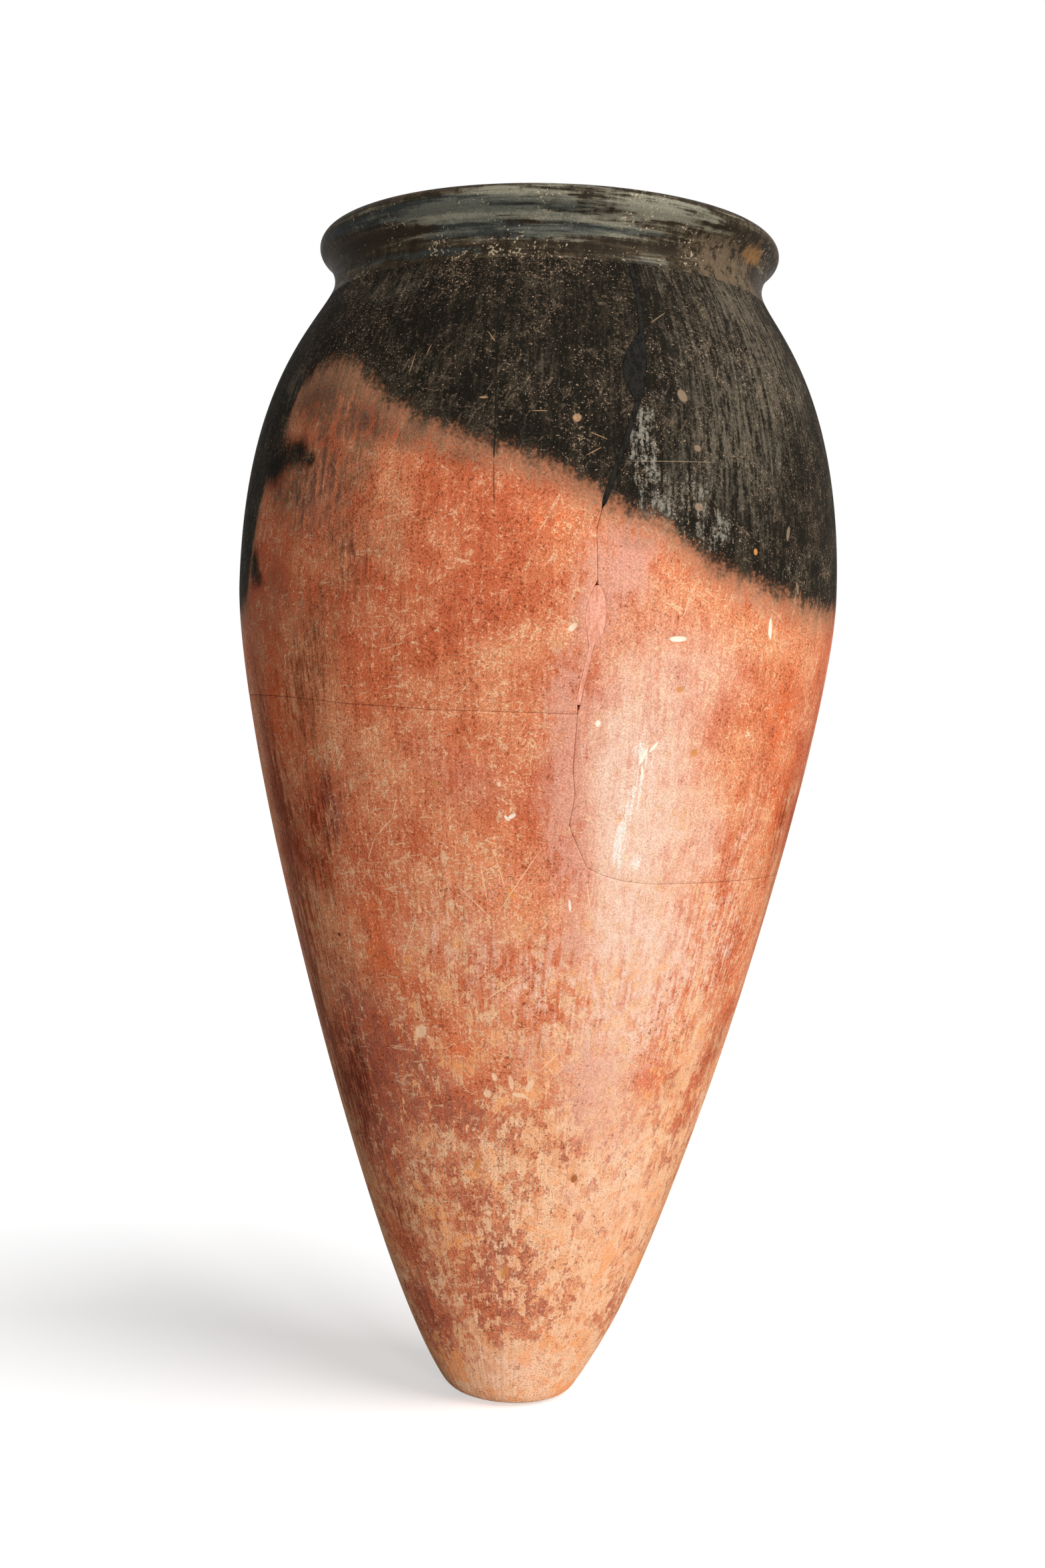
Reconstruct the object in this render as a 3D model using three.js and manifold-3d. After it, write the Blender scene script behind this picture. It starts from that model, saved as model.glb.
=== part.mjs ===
// Black-topped pottery jar: hand-built fired clay, broken once and mended.
// Millimetres, +Z up. The origin is the centre of the flat face under the foot, and the front faces -Y.
// A pinched foot, a wall, a neck collar and a rolled lip are luted together. An old break parts the wall
// into a lower part and two upper sherds, with two fills in the main crack.

import * as THREE from 'three';
import { mergeVertices } from 'three/addons/utils/BufferGeometryUtils.js';
import Module from 'manifold-3d';

// Outside of the jar
const JAR_HEIGHT = 400;
const FOOT_FLAT_RADIUS = 14;
const FOOT_EDGE_RADIUS = 12.5;
const FOOT_LEAN = THREE.MathUtils.degToRad(34);
const BELLY_RADIUS = 103.5;
const BELLY_HEIGHT = 278;
const NECK_RADIUS = 74.5;
const NECK_HOLLOW_RADIUS = 11.5;
const NECK_LEAN = THREE.MathUtils.degToRad(9);
const LIP_OVERHANG = 5.5;
const LIP_ROLL_RADIUS = 4;

// How far the wall's curve keeps straight on as it leaves the foot, the belly and the neck
const FOOT_PULL = 50;
const BELLY_PULL_DOWN = 50;
const BELLY_PULL_UP = 75;
const NECK_PULL = 12;

// Clay inside
const WALL = 7;
const FLOOR_THICKNESS = 14;

// Luted joints: their places, how far each climbs from its outside to its inside, and the film of slip in it
const FOOT_JOINT_HEIGHT = 46;
const COLLAR_HEIGHT = 23;
const JOINT_BEVEL = 4;
const SLIP_FILM = 0.3;

// Break lines seen from the front: points right of the axis and up, from the top down or outwards from the
// crack that each leaves. The left and right breaks end on the jar's sides, where those behind it take over.
const BREAK_WIDTH = 0.3;
const MAIN_BREAK = [
  [25.5, 378.5], [28.5, 362], [30, 343.5], [29, 331.5], [24.5, 315.5], [19, 298], [17, 290],
  [18, 271], [17.5, 259], [13.5, 239], [12.5, 218], [13.5, 210], [12, 200.5], [18, 188],
];
const LEFT_BREAK_HEIGHT = 234.5;
const LEFT_BREAK = [[-31, 234.5], [-60, 236], [-79, 238], [-99, 239.5]];
const RIGHT_BREAK = [[22, 186], [29, 184], [39, 183], [61, 183.5], [86.5, 184.5]];
const BACK_BREAK = [[-17.5, 378.5], [-10.5, 333.5], [-16.5, 292], [-12.5, 247.5]];
const BACK_LEFT_BREAK = [[-52, 239], LEFT_BREAK.at(-1)];
const BACK_RIGHT_BREAK = [[26, 228], [64, 197.5], RIGHT_BREAK.at(-1)];

// Fills in the main crack: a narrow strip with a patch that swells out of it
const FILL_CLEARANCE = 0.3;
const BLACK_FILL_FOOT_HEIGHT = 297;
const BLACK_PATCH_HEIGHT = 341;
const BLACK_PATCH_REACH = 11;
const BLACK_PATCH_SWELL = 5.4;
const BLACK_STRIP = 0.8;
const FILL_SPACING = 24;
const PINK_FILL_LENGTH = 36;
const PINK_PATCH_DROP = 9;
const PINK_PATCH_REACH = 9;
const PINK_PATCH_SWELL = 2.4;
const PINK_STRIP = 0.7;

// Fineness of the faceted surfaces
const ROUND_STEPS = 48;
const LOWER_WALL_STEPS = 14;
const SHOULDER_STEPS = 10;
const LINING_STEPS = 16;
const FOOT_STEPS = 5;
const COLLAR_STEPS = 8;
const FLARE_STEPS = 5;
const LIP_STEPS = 5;
const FILL_STEPS = 14;
const HEIGHT_SEARCH_STEPS = 40;

// Clay finishes
const FOOT_CLAY = { color: 0xc7a17d, roughness: 0.85, metalness: 0 };
const RED_CLAY = { color: 0xb4633d, roughness: 0.55, metalness: 0 };
const BLACK_CLAY = { color: 0x2c241f, roughness: 0.45, metalness: 0 };
const RIM_CLAY = { color: 0x312b27, roughness: 0.4, metalness: 0 };
const BLACK_FILLER = { color: 0x1b1816, roughness: 0.6, metalness: 0 };
const PINK_FILLER = { color: 0xd29c84, roughness: 0.8, metalness: 0 };

const wasm = await Module();
wasm.setup();

// The lip is a roll, and the hollow of the neck is an arc that runs into its underside
const lipRadius = NECK_RADIUS + LIP_OVERHANG;
const lipCentre = new THREE.Vector2(lipRadius - LIP_ROLL_RADIUS, JAR_HEIGHT - LIP_ROLL_RADIUS);
const lipInside = new THREE.Vector2(lipCentre.x - LIP_ROLL_RADIUS, lipCentre.y);
const hollowReach = NECK_HOLLOW_RADIUS + LIP_ROLL_RADIUS;
const hollowOut = NECK_RADIUS + NECK_HOLLOW_RADIUS;
const lipLean = Math.acos((hollowOut - lipCentre.x) / hollowReach);
const neckHollow = new THREE.EllipseCurve(
  hollowOut, lipCentre.y - hollowReach * Math.sin(lipLean), NECK_HOLLOW_RADIUS, NECK_HOLLOW_RADIUS,
  Math.PI + NECK_LEAN, Math.PI - lipLean, true,
);
const footEdge = new THREE.EllipseCurve(
  FOOT_FLAT_RADIUS, FOOT_EDGE_RADIUS, FOOT_EDGE_RADIUS, FOOT_EDGE_RADIUS, -Math.PI / 2, -FOOT_LEAN,
);

// The outer face of the wall, from the foot's edge to the underside of the lip
const wallCurve = outerWallCurve();
const footEdgeTop = footEdge.getPoint(1).y;
const wallTop = JAR_HEIGHT - COLLAR_HEIGHT;
const collarTop = neckHollow.getPoint(1).y;

function outerWallCurve() {
  const foot = footEdge.getPoint(1);
  const belly = new THREE.Vector2(BELLY_RADIUS, BELLY_HEIGHT);
  const neck = neckHollow.getPoint(0);
  const footPull = new THREE.Vector2(Math.sin(FOOT_LEAN), Math.cos(FOOT_LEAN)).multiplyScalar(FOOT_PULL);
  const neckPull = new THREE.Vector2(Math.sin(NECK_LEAN), -Math.cos(NECK_LEAN)).multiplyScalar(NECK_PULL);
  const belowBelly = new THREE.Vector2(BELLY_RADIUS, BELLY_HEIGHT - BELLY_PULL_DOWN);
  const aboveBelly = new THREE.Vector2(BELLY_RADIUS, BELLY_HEIGHT + BELLY_PULL_UP);
  const curve = new THREE.CurvePath();
  curve.add(new THREE.CubicBezierCurve(foot, foot.clone().add(footPull), belowBelly, belly));
  curve.add(new THREE.CubicBezierCurve(belly, aboveBelly, neck.clone().add(neckPull), neck));
  curve.add(neckHollow);
  return curve;
}

// How far along the wall's curve, from 0 to 1, the outer face reaches a height
function shareAtHeight(height) {
  let low = 0;
  let high = 1;
  for (let step = 0; step < HEIGHT_SEARCH_STEPS; step += 1) {
    const middle = (low + high) / 2;
    if (wallCurve.getPoint(middle).y < height) {
      low = middle;
    } else {
      high = middle;
    }
  }
  return (low + high) / 2;
}

// A point of the wall, set in from its outer face by a depth
function wallPoint(share, depth) {
  const along = wallCurve.getTangent(share);
  const inward = new THREE.Vector2(-along.y, along.x);
  return wallCurve.getPoint(share).addScaledVector(inward, depth);
}

// Points along the wall between two heights of its outer face
function wallRun(fromHeight, toHeight, depth, steps) {
  const from = shareAtHeight(fromHeight);
  const to = shareAtHeight(toHeight);
  return Array.from({ length: steps + 1 }, (_, step) => {
    return wallPoint(THREE.MathUtils.lerp(from, to, step / steps), depth);
  });
}

// The same surface with one vertex at each place
function welded(geometry) {
  geometry.deleteAttribute('normal');
  geometry.deleteAttribute('uv');
  return mergeVertices(geometry);
}

// A closed half section turned about the jar's axis
function turned(section) {
  const geometry = new THREE.LatheGeometry(section, ROUND_STEPS);
  geometry.rotateX(Math.PI / 2);
  return welded(geometry);
}

function solidFrom(geometry) {
  const vertProperties = new Float32Array(geometry.attributes.position.array);
  const triVerts = new Uint32Array(geometry.index.array);
  return new wasm.Manifold(new wasm.Mesh({ numProp: 3, vertProperties, triVerts }));
}

function geometryFrom(solid) {
  const { vertProperties, triVerts } = solid.getMesh();
  const geometry = new THREE.BufferGeometry();
  geometry.setAttribute('position', new THREE.BufferAttribute(vertProperties, 3));
  geometry.setIndex(new THREE.BufferAttribute(triVerts, 1));
  return geometry;
}

function mesh(name, geometry, clay) {
  geometry.computeVertexNormals();
  const piece = new THREE.Mesh(geometry, new THREE.MeshStandardMaterial(clay));
  piece.name = name;
  return piece;
}

// Foot: a flat bottom with a rounded edge, hollowed down to a thick floor
function footGeometry() {
  const top = FOOT_JOINT_HEIGHT - SLIP_FILM;
  const liningShare = shareAtHeight(top + JOINT_BEVEL);
  const lining = wallPoint(liningShare, WALL);
  const along = wallCurve.getTangent(liningShare);
  const corner = lining.clone().addScaledVector(along, (FLOOR_THICKNESS - lining.y) / along.y);
  const hollow = new THREE.QuadraticBezierCurve(lining, corner, new THREE.Vector2(0, FLOOR_THICKNESS));
  return turned([
    new THREE.Vector2(0, 0),
    ...footEdge.getPoints(FOOT_STEPS),
    ...wallRun(footEdgeTop, top, 0, FOOT_STEPS).slice(1),
    ...hollow.getPoints(FOOT_STEPS),
  ]);
}

// Wall: one ring from the foot to the collar, as it was before the break
function wallSolid() {
  const lower = wallRun(FOOT_JOINT_HEIGHT, BELLY_HEIGHT, 0, LOWER_WALL_STEPS);
  const shoulder = wallRun(BELLY_HEIGHT, wallTop, 0, SHOULDER_STEPS).slice(1);
  const lining = wallRun(FOOT_JOINT_HEIGHT + JOINT_BEVEL, wallTop + JOINT_BEVEL, WALL, LINING_STEPS);
  return solidFrom(turned([...lower, ...shoulder, ...lining.reverse(), lower[0]]));
}

// Collar: the neck, flaring inside from the top of the wall's lining to the inner face of the lip
function collarGeometry() {
  const foot = wallTop + SLIP_FILM;
  const outside = wallRun(foot, collarTop - SLIP_FILM, 0, COLLAR_STEPS);
  const throat = wallPoint(shareAtHeight(foot + JOINT_BEVEL), WALL);
  const lip = new THREE.Vector2(lipInside.x, lipInside.y - SLIP_FILM);
  const middle = (throat.y + lip.y) / 2;
  const throatPull = new THREE.Vector2(throat.x, middle);
  const lipPull = new THREE.Vector2(lip.x, middle);
  const flare = new THREE.CubicBezierCurve(lip, lipPull, throatPull, throat);
  return turned([...outside, ...flare.getPoints(FLARE_STEPS), outside[0]]);
}

// Rim: a rolled coil, seated on the collar along a bevel from the hollow of the neck to the lip's inner face
function rimGeometry() {
  const arc = (from, to) => new THREE.EllipseCurve(
    lipCentre.x, lipCentre.y, LIP_ROLL_RADIUS, LIP_ROLL_RADIUS, from, to,
  ).getPoints(LIP_STEPS);
  const outside = arc(-lipLean, Math.PI / 2);
  const inside = arc(Math.PI / 2, Math.PI).slice(1);
  return turned([...outside, ...inside, outside[0]]);
}

function breakLine(points) {
  return points.map(([across, up]) => new THREE.Vector2(across, up));
}

const mainBreak = breakLine(MAIN_BREAK);
const backBreak = breakLine(BACK_BREAK);
// Whole numbers, so that the cuts through the front half and the back half meet exactly
const cutReach = Math.ceil(2 * BELLY_RADIUS);
const cutTop = Math.ceil(2 * JAR_HEIGHT);

// How far to the right the main crack lies at a height
function mainBreakAt(height) {
  const next = mainBreak.findIndex((point) => point.y <= height);
  if (next === 0) {
    return mainBreak[0].x;
  }
  if (next < 0) {
    return mainBreak[mainBreak.length - 1].x;
  }
  const above = mainBreak[next - 1];
  const below = mainBreak[next];
  return THREE.MathUtils.mapLinear(height, above.y, below.y, above.x, below.x);
}

// A front-view outline swept through the front half of the jar, or through its back half
function cutter(outline, throughBack) {
  const geometry = new THREE.ExtrudeGeometry(new THREE.Shape(outline), { depth: cutReach, bevelEnabled: false });
  geometry.rotateX(Math.PI / 2);
  geometry.translate(0, throughBack ? cutReach : 0, 0);
  return solidFrom(welded(geometry));
}

// The outline above an upright break and the level one that leaves it, grown past both by a distance.
// The side is -1 for the sherd on the left and 1 for the one on the right.
function sherdOutline(upright, corner, level, side, grow) {
  const far = side * cutReach;
  const edge = upright.filter((point) => point.y > corner.y);
  const end = level[level.length - 1];
  return [
    new THREE.Vector2(far, cutTop),
    new THREE.Vector2(edge[0].x - side * grow, cutTop),
    ...edge.map((point) => new THREE.Vector2(point.x - side * grow, point.y)),
    new THREE.Vector2(corner.x - side * grow, corner.y - grow),
    ...level.map((point) => new THREE.Vector2(point.x, point.y - grow)),
    new THREE.Vector2(far, end.y - grow),
  ];
}

const mainFoot = mainBreak[mainBreak.length - 1];
const backFoot = backBreak[backBreak.length - 1];
const leftCorner = new THREE.Vector2(mainBreakAt(LEFT_BREAK_HEIGHT), LEFT_BREAK_HEIGHT);

function leftCutter(grow) {
  const front = sherdOutline(mainBreak, leftCorner, breakLine(LEFT_BREAK), -1, grow);
  const back = sherdOutline(backBreak, backFoot, breakLine(BACK_LEFT_BREAK), -1, grow);
  return cutter(front, false).add(cutter(back, true));
}

function rightCutter(grow) {
  const front = sherdOutline(mainBreak, mainFoot, breakLine(RIGHT_BREAK), 1, grow);
  const back = sherdOutline(backBreak, backFoot, breakLine(BACK_RIGHT_BREAK), 1, grow);
  return cutter(front, false).add(cutter(back, true));
}

// A fill's outline along the main crack: a strip, and a patch that swells to the left and to the right
function fillOutline(fill, grow) {
  const left = [];
  const right = [];
  for (let step = 0; step <= FILL_STEPS; step += 1) {
    const height = THREE.MathUtils.lerp(fill.top + grow, fill.foot - grow, step / FILL_STEPS);
    const offCentre = (height - fill.patchHeight) / fill.patchReach;
    const swell = Math.max(0, 1 - offCentre * offCentre);
    const crack = mainBreakAt(height);
    left.push(new THREE.Vector2(crack - fill.strip - grow - fill.swellLeft * swell, height));
    right.push(new THREE.Vector2(crack + fill.strip + grow + fill.swellRight * swell, height));
  }
  return [...left, ...right.reverse()];
}

// The black fill starts above the wall, whose top trims it
const blackFill = {
  top: wallTop + 2 * JOINT_BEVEL,
  foot: BLACK_FILL_FOOT_HEIGHT,
  patchHeight: BLACK_PATCH_HEIGHT,
  patchReach: BLACK_PATCH_REACH,
  strip: BLACK_STRIP,
  swellLeft: BLACK_PATCH_SWELL,
  swellRight: 0,
};
const pinkTop = BLACK_FILL_FOOT_HEIGHT - FILL_SPACING;
const pinkFill = {
  top: pinkTop,
  foot: pinkTop - PINK_FILL_LENGTH,
  patchHeight: pinkTop - PINK_PATCH_DROP,
  patchReach: PINK_PATCH_REACH,
  strip: PINK_STRIP,
  swellLeft: PINK_PATCH_SWELL,
  swellRight: PINK_PATCH_SWELL,
};

// The broken wall: each sherd stops half a crack short of its break lines and leaves room for the fills
const halfBreak = BREAK_WIDTH / 2;
const wall = wallSolid();
const fillRoom = cutter(fillOutline(blackFill, FILL_CLEARANCE), false)
  .add(cutter(fillOutline(pinkFill, FILL_CLEARANCE), false));
const lower = wall.subtract(leftCutter(halfBreak)).subtract(rightCutter(halfBreak)).subtract(fillRoom);
const upperLeft = wall.intersect(leftCutter(-halfBreak)).subtract(fillRoom);
const upperRight = wall.intersect(rightCutter(-halfBreak)).subtract(fillRoom);
const blackFilling = wall.intersect(cutter(fillOutline(blackFill, 0), false));
const pinkFilling = wall.intersect(cutter(fillOutline(pinkFill, 0), false));

const jar = new THREE.Group();
jar.add(
  mesh('foot_cup', footGeometry(), FOOT_CLAY),
  mesh('lower_wall', geometryFrom(lower), RED_CLAY),
  mesh('upper_wall_left', geometryFrom(upperLeft), BLACK_CLAY),
  mesh('upper_wall_right', geometryFrom(upperRight), BLACK_CLAY),
  mesh('neck_collar', collarGeometry(), RIM_CLAY),
  mesh('rim_roll', rimGeometry(), RIM_CLAY),
  mesh('crack_fill_black', geometryFrom(blackFilling), BLACK_FILLER),
  mesh('crack_fill_pink', geometryFrom(pinkFilling), PINK_FILLER),
);

export default jar;
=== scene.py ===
"""Looks of a hand-built, black-topped pottery jar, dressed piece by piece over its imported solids.

Sizes are in millimetres and become metres as each mesh is finished. The front faces -Y and +Z is up.
Angles run round the jar in degrees, 0 at the front and positive to the right as seen from the front.
"""

import logging
import math
from dataclasses import dataclass
from enum import Enum
from functools import cached_property, reduce
from typing import Callable, Optional, Sequence, Union

import bmesh
import bpy
import numpy as np
from mathutils import Euler, Matrix, Vector

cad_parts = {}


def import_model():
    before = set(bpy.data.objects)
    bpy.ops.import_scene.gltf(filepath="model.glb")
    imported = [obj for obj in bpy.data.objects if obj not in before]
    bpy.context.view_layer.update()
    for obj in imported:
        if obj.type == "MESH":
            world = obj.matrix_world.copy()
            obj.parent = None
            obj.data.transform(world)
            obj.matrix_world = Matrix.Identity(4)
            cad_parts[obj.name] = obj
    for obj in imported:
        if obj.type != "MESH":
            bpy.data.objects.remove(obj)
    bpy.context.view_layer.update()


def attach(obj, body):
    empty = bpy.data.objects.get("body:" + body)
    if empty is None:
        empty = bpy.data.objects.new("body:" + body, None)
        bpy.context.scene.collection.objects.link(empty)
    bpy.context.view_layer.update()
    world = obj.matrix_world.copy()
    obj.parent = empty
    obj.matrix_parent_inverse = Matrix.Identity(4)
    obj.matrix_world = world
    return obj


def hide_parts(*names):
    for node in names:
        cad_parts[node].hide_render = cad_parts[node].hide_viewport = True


LOG = logging.getLogger("jar")
MM = 0.001
BODY = "root"

# Vertices closer than this are one
WELD = 1e-4
# How deep the outer face ends, and how deep the lining starts
OUTER_DEPTH = 1.2
LINING_DEPTH = 3.0
# An edge whose ends lie this close to a height is level there
LEVEL = 0.05
# Edges sharper than this stay sharp on a smooth piece
SHARP_ANGLE = math.radians(48)

Points = np.ndarray
Pair = tuple[float, float]
Colour = tuple[float, float, float, float]


class Node(Enum):
    """The jar's nodes, each with its slot of the record's materials."""

    FOOT = ("foot_cup", "buff_clay")
    LOWER = ("lower_wall", "red_clay")
    LEFT = ("upper_wall_left", "black_clay_left")
    RIGHT = ("upper_wall_right", "black_clay_right")
    COLLAR = ("neck_collar", "neck_clay")
    RIM = ("rim_roll", "rim_clay")
    BLACK_FILL = ("crack_fill_black", "black_fill")
    PINK_FILL = ("crack_fill_pink", "pink_fill")


class Side(Enum):
    """Which half of the jar a break line seen from the front runs through."""

    FRONT = 0
    BACK = 1


class Hand(Enum):
    """Which side of the main crack a sherd lies on."""

    LEFT = -1
    RIGHT = 1


class Blend(Enum):
    """How one colour lies over another."""

    COVER = "MIX"
    DARKEN = "MULTIPLY"


def paint(red: int, green: int, blue: int) -> Colour:
    """Turns a colour as a screen shows it, 0 to 255, into the shader's linear colour.

    Args:
        red: Red share.
        green: Green share.
        blue: Blue share.

    Returns:
        The linear colour with full alpha.
    """
    linear = [
        c / 12.92 if c <= 0.04045 else ((c + 0.055) / 1.055) ** 2.4
        for c in (red / 255, green / 255, blue / 255)
    ]
    return (linear[0], linear[1], linear[2], 1.0)


def arc(centre: Sequence[float], radius: float, start: float, end: float, count: int) -> Points:
    """Points along a circle's arc.

    Args:
        centre: Centre of the circle.
        radius: Its radius.
        start: Angle of the first point, in radians.
        end: Angle of the last point.
        count: How many points.

    Returns:
        The points, one to a row.
    """
    turn = np.linspace(start, end, count)
    return np.column_stack([centre[0] + radius * np.cos(turn), centre[1] + radius * np.sin(turn)])


def bezier(handles: Sequence[Sequence[float]], count: int) -> Points:
    """Points along a Bezier curve of any degree.

    Args:
        handles: The curve's ends and handles, in order.
        count: How many points.

    Returns:
        The points, one to a row.
    """
    share = np.linspace(0, 1, count)[:, None]
    degree = len(handles) - 1
    terms = [
        math.comb(degree, i) * (1 - share) ** (degree - i) * share**i * np.asarray(handle)
        for i, handle in enumerate(handles)
    ]
    return np.sum(terms, axis=0)


def lengths(points: Points) -> Points:
    """Distance along a line at each of its points."""
    return np.concatenate([[0], np.cumsum(np.linalg.norm(np.diff(points, axis=0), axis=1))])


def even(line: Union[Points, Sequence[Sequence[float]]], spacing: float) -> Points:
    """Spaces points evenly along a line.

    Args:
        line: The line's points.
        spacing: Wanted distance between points.

    Returns:
        Points from the line's first to its last.
    """
    points = np.asarray(line, float)
    along = lengths(points)
    stops = np.linspace(0, along[-1], max(2, math.ceil(along[-1] / spacing) + 1))
    return np.column_stack([np.interp(stops, along, column) for column in points.T])


def smooth(value: Points, low: float, high: float) -> Points:
    """A soft step from 0 at low to 1 at high."""
    share = np.clip((value - low) / (high - low), 0, 1)
    return share * share * (3 - 2 * share)


@dataclass(frozen=True)
class JarProfile:
    """The jar's half section, radius and height, from the foot to the lip.

    Attributes:
        height: Height of the jar.
        foot_flat: Radius of the flat face under the foot.
        foot_edge: Radius of the rounding round that face.
        foot_lean: How far the wall leans out as it leaves the foot, in radians.
        foot_pull: How far the wall's curve keeps straight on there.
        belly: Largest radius.
        belly_height: Height of the belly.
        belly_pull_down: How far the curve keeps straight on below the belly.
        belly_pull_up: How far it does so above the belly.
        neck: Smallest radius of the neck.
        neck_hollow: Radius of the neck's hollow.
        neck_lean: How far the wall leans in as it reaches the neck, in radians.
        neck_pull: How far the curve keeps straight on there.
        lip_overhang: How far the lip stands out over the neck.
        lip_roll: Radius of the rolled lip.
        wall: Thickness of the wall.
        floor: Thickness of the foot's floor.
        foot_joint: Height of the joint between the foot and the wall.
        collar: How far under the top the joint between the wall and the collar is.
        joint_bevel: How far a joint climbs from its outside to its inside.
        arc_points: Points along a short curve of the section.
        lower_points: Points along the wall below the belly.
        upper_points: Points along the wall above the belly.
    """

    height: float = 400.0
    foot_flat: float = 14.0
    foot_edge: float = 12.5
    foot_lean: float = math.radians(34)
    foot_pull: float = 50.0
    belly: float = 103.5
    belly_height: float = 278.0
    belly_pull_down: float = 50.0
    belly_pull_up: float = 75.0
    neck: float = 74.5
    neck_hollow: float = 11.5
    neck_lean: float = math.radians(9)
    neck_pull: float = 12.0
    lip_overhang: float = 5.5
    lip_roll: float = 4.0
    wall: float = 7.0
    floor: float = 14.0
    foot_joint: float = 46.0
    collar: float = 23.0
    joint_bevel: float = 4.0
    arc_points: int = 40
    lower_points: int = 240
    upper_points: int = 160

    @cached_property
    def lip_centre(self) -> Points:
        """Centre of the rolled lip."""
        return np.array([self.neck + self.lip_overhang - self.lip_roll, self.height - self.lip_roll])

    @cached_property
    def lip_lean(self) -> float:
        """Angle at which the hollow of the neck runs into the lip."""
        reach = self.neck_hollow + self.lip_roll
        return math.acos((self.neck + self.neck_hollow - self.lip_centre[0]) / reach)

    @cached_property
    def wall_top(self) -> float:
        """Height of the joint between the wall and the collar."""
        return self.height - self.collar

    @cached_property
    def outer(self) -> Points:
        """The outer face, from the edge of the flat foot to the underside of the lip.

        Returns:
            Radius and height of each point.
        """
        foot_centre = (self.foot_flat, self.foot_edge)
        foot = arc(foot_centre, self.foot_edge, -math.pi / 2, -self.foot_lean, self.arc_points)
        reach = self.neck_hollow + self.lip_roll
        hollow_centre = (self.neck + self.neck_hollow, self.lip_centre[1] - reach * math.sin(self.lip_lean))
        low, high = math.pi + self.neck_lean, math.pi - self.lip_lean
        hollow = arc(hollow_centre, self.neck_hollow, low, high, self.arc_points)
        belly = np.array([self.belly, self.belly_height])
        foot_way = np.array([math.sin(self.foot_lean), math.cos(self.foot_lean)])
        neck_way = np.array([math.sin(self.neck_lean), -math.cos(self.neck_lean)])
        lower = bezier(
            [foot[-1], foot[-1] + self.foot_pull * foot_way, belly - (0, self.belly_pull_down), belly],
            self.lower_points,
        )
        upper = bezier(
            [belly, belly + (0, self.belly_pull_up), hollow[0] + self.neck_pull * neck_way, hollow[0]],
            self.upper_points,
        )
        return np.vstack([foot, lower[1:], upper[1:], hollow[1:]])

    @cached_property
    def lining(self) -> Points:
        """The inner face of the wall, set in from the outer one.

        Returns:
            Radius and height of each point.
        """
        along = np.gradient(self.outer, axis=0)
        along /= np.linalg.norm(along, axis=1)[:, None]
        return self.outer + self.wall * np.column_stack([-along[:, 1], along[:, 0]])

    def radius(self, height: Points) -> Points:
        """Radius of the outer face at a height."""
        return np.interp(height, self.outer[:, 1], self.outer[:, 0])

    def run(self, low: float, high: float) -> Points:
        """A stretch of the outer face.

        Args:
            low: Height of its first point.
            high: Height of its last point.

        Returns:
            Radius and height of each point.
        """
        heights = self.outer[:, 1]
        middle = self.outer[(heights > low) & (heights < high)]
        ends = [(self.radius(low), low), (self.radius(high), high)]
        return np.vstack([ends[:1], middle, ends[1:]])

    def lining_point(self, outer_height: float) -> Points:
        """The point of the lining that lies behind a height of the outer face."""
        return np.array([np.interp(outer_height, self.outer[:, 1], column) for column in self.lining.T])


JAR = JarProfile()


@dataclass(frozen=True)
class Patch:
    """A soft oval on the wall.

    Attributes:
        angle: Where it is round the jar.
        height: How high it is.
        across: How far it reaches sideways.
        up: How far it reaches up and down.
        strength: How strong it is at its middle.
    """

    angle: float
    height: float
    across: float
    up: float
    strength: float = 1.0

    def cover(self, angle: Points, height: Points) -> Points:
        """Its strength at points.

        Args:
            angle: Angles of the points.
            height: Heights of the points.

        Returns:
            The strength at each.
        """
        turn = (angle - self.angle + 180) % 360 - 180
        sideways = np.radians(turn) * JAR.radius(height) / self.across
        upwards = (height - self.height) / self.up
        return self.strength * np.exp(-(sideways**2) - upwards**2)


def patches(*rows: Sequence[float]) -> tuple[Patch, ...]:
    """Soft ovals, each from its angle, height, reach across, reach up and strength."""
    return tuple(Patch(*row) for row in rows)


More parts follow.
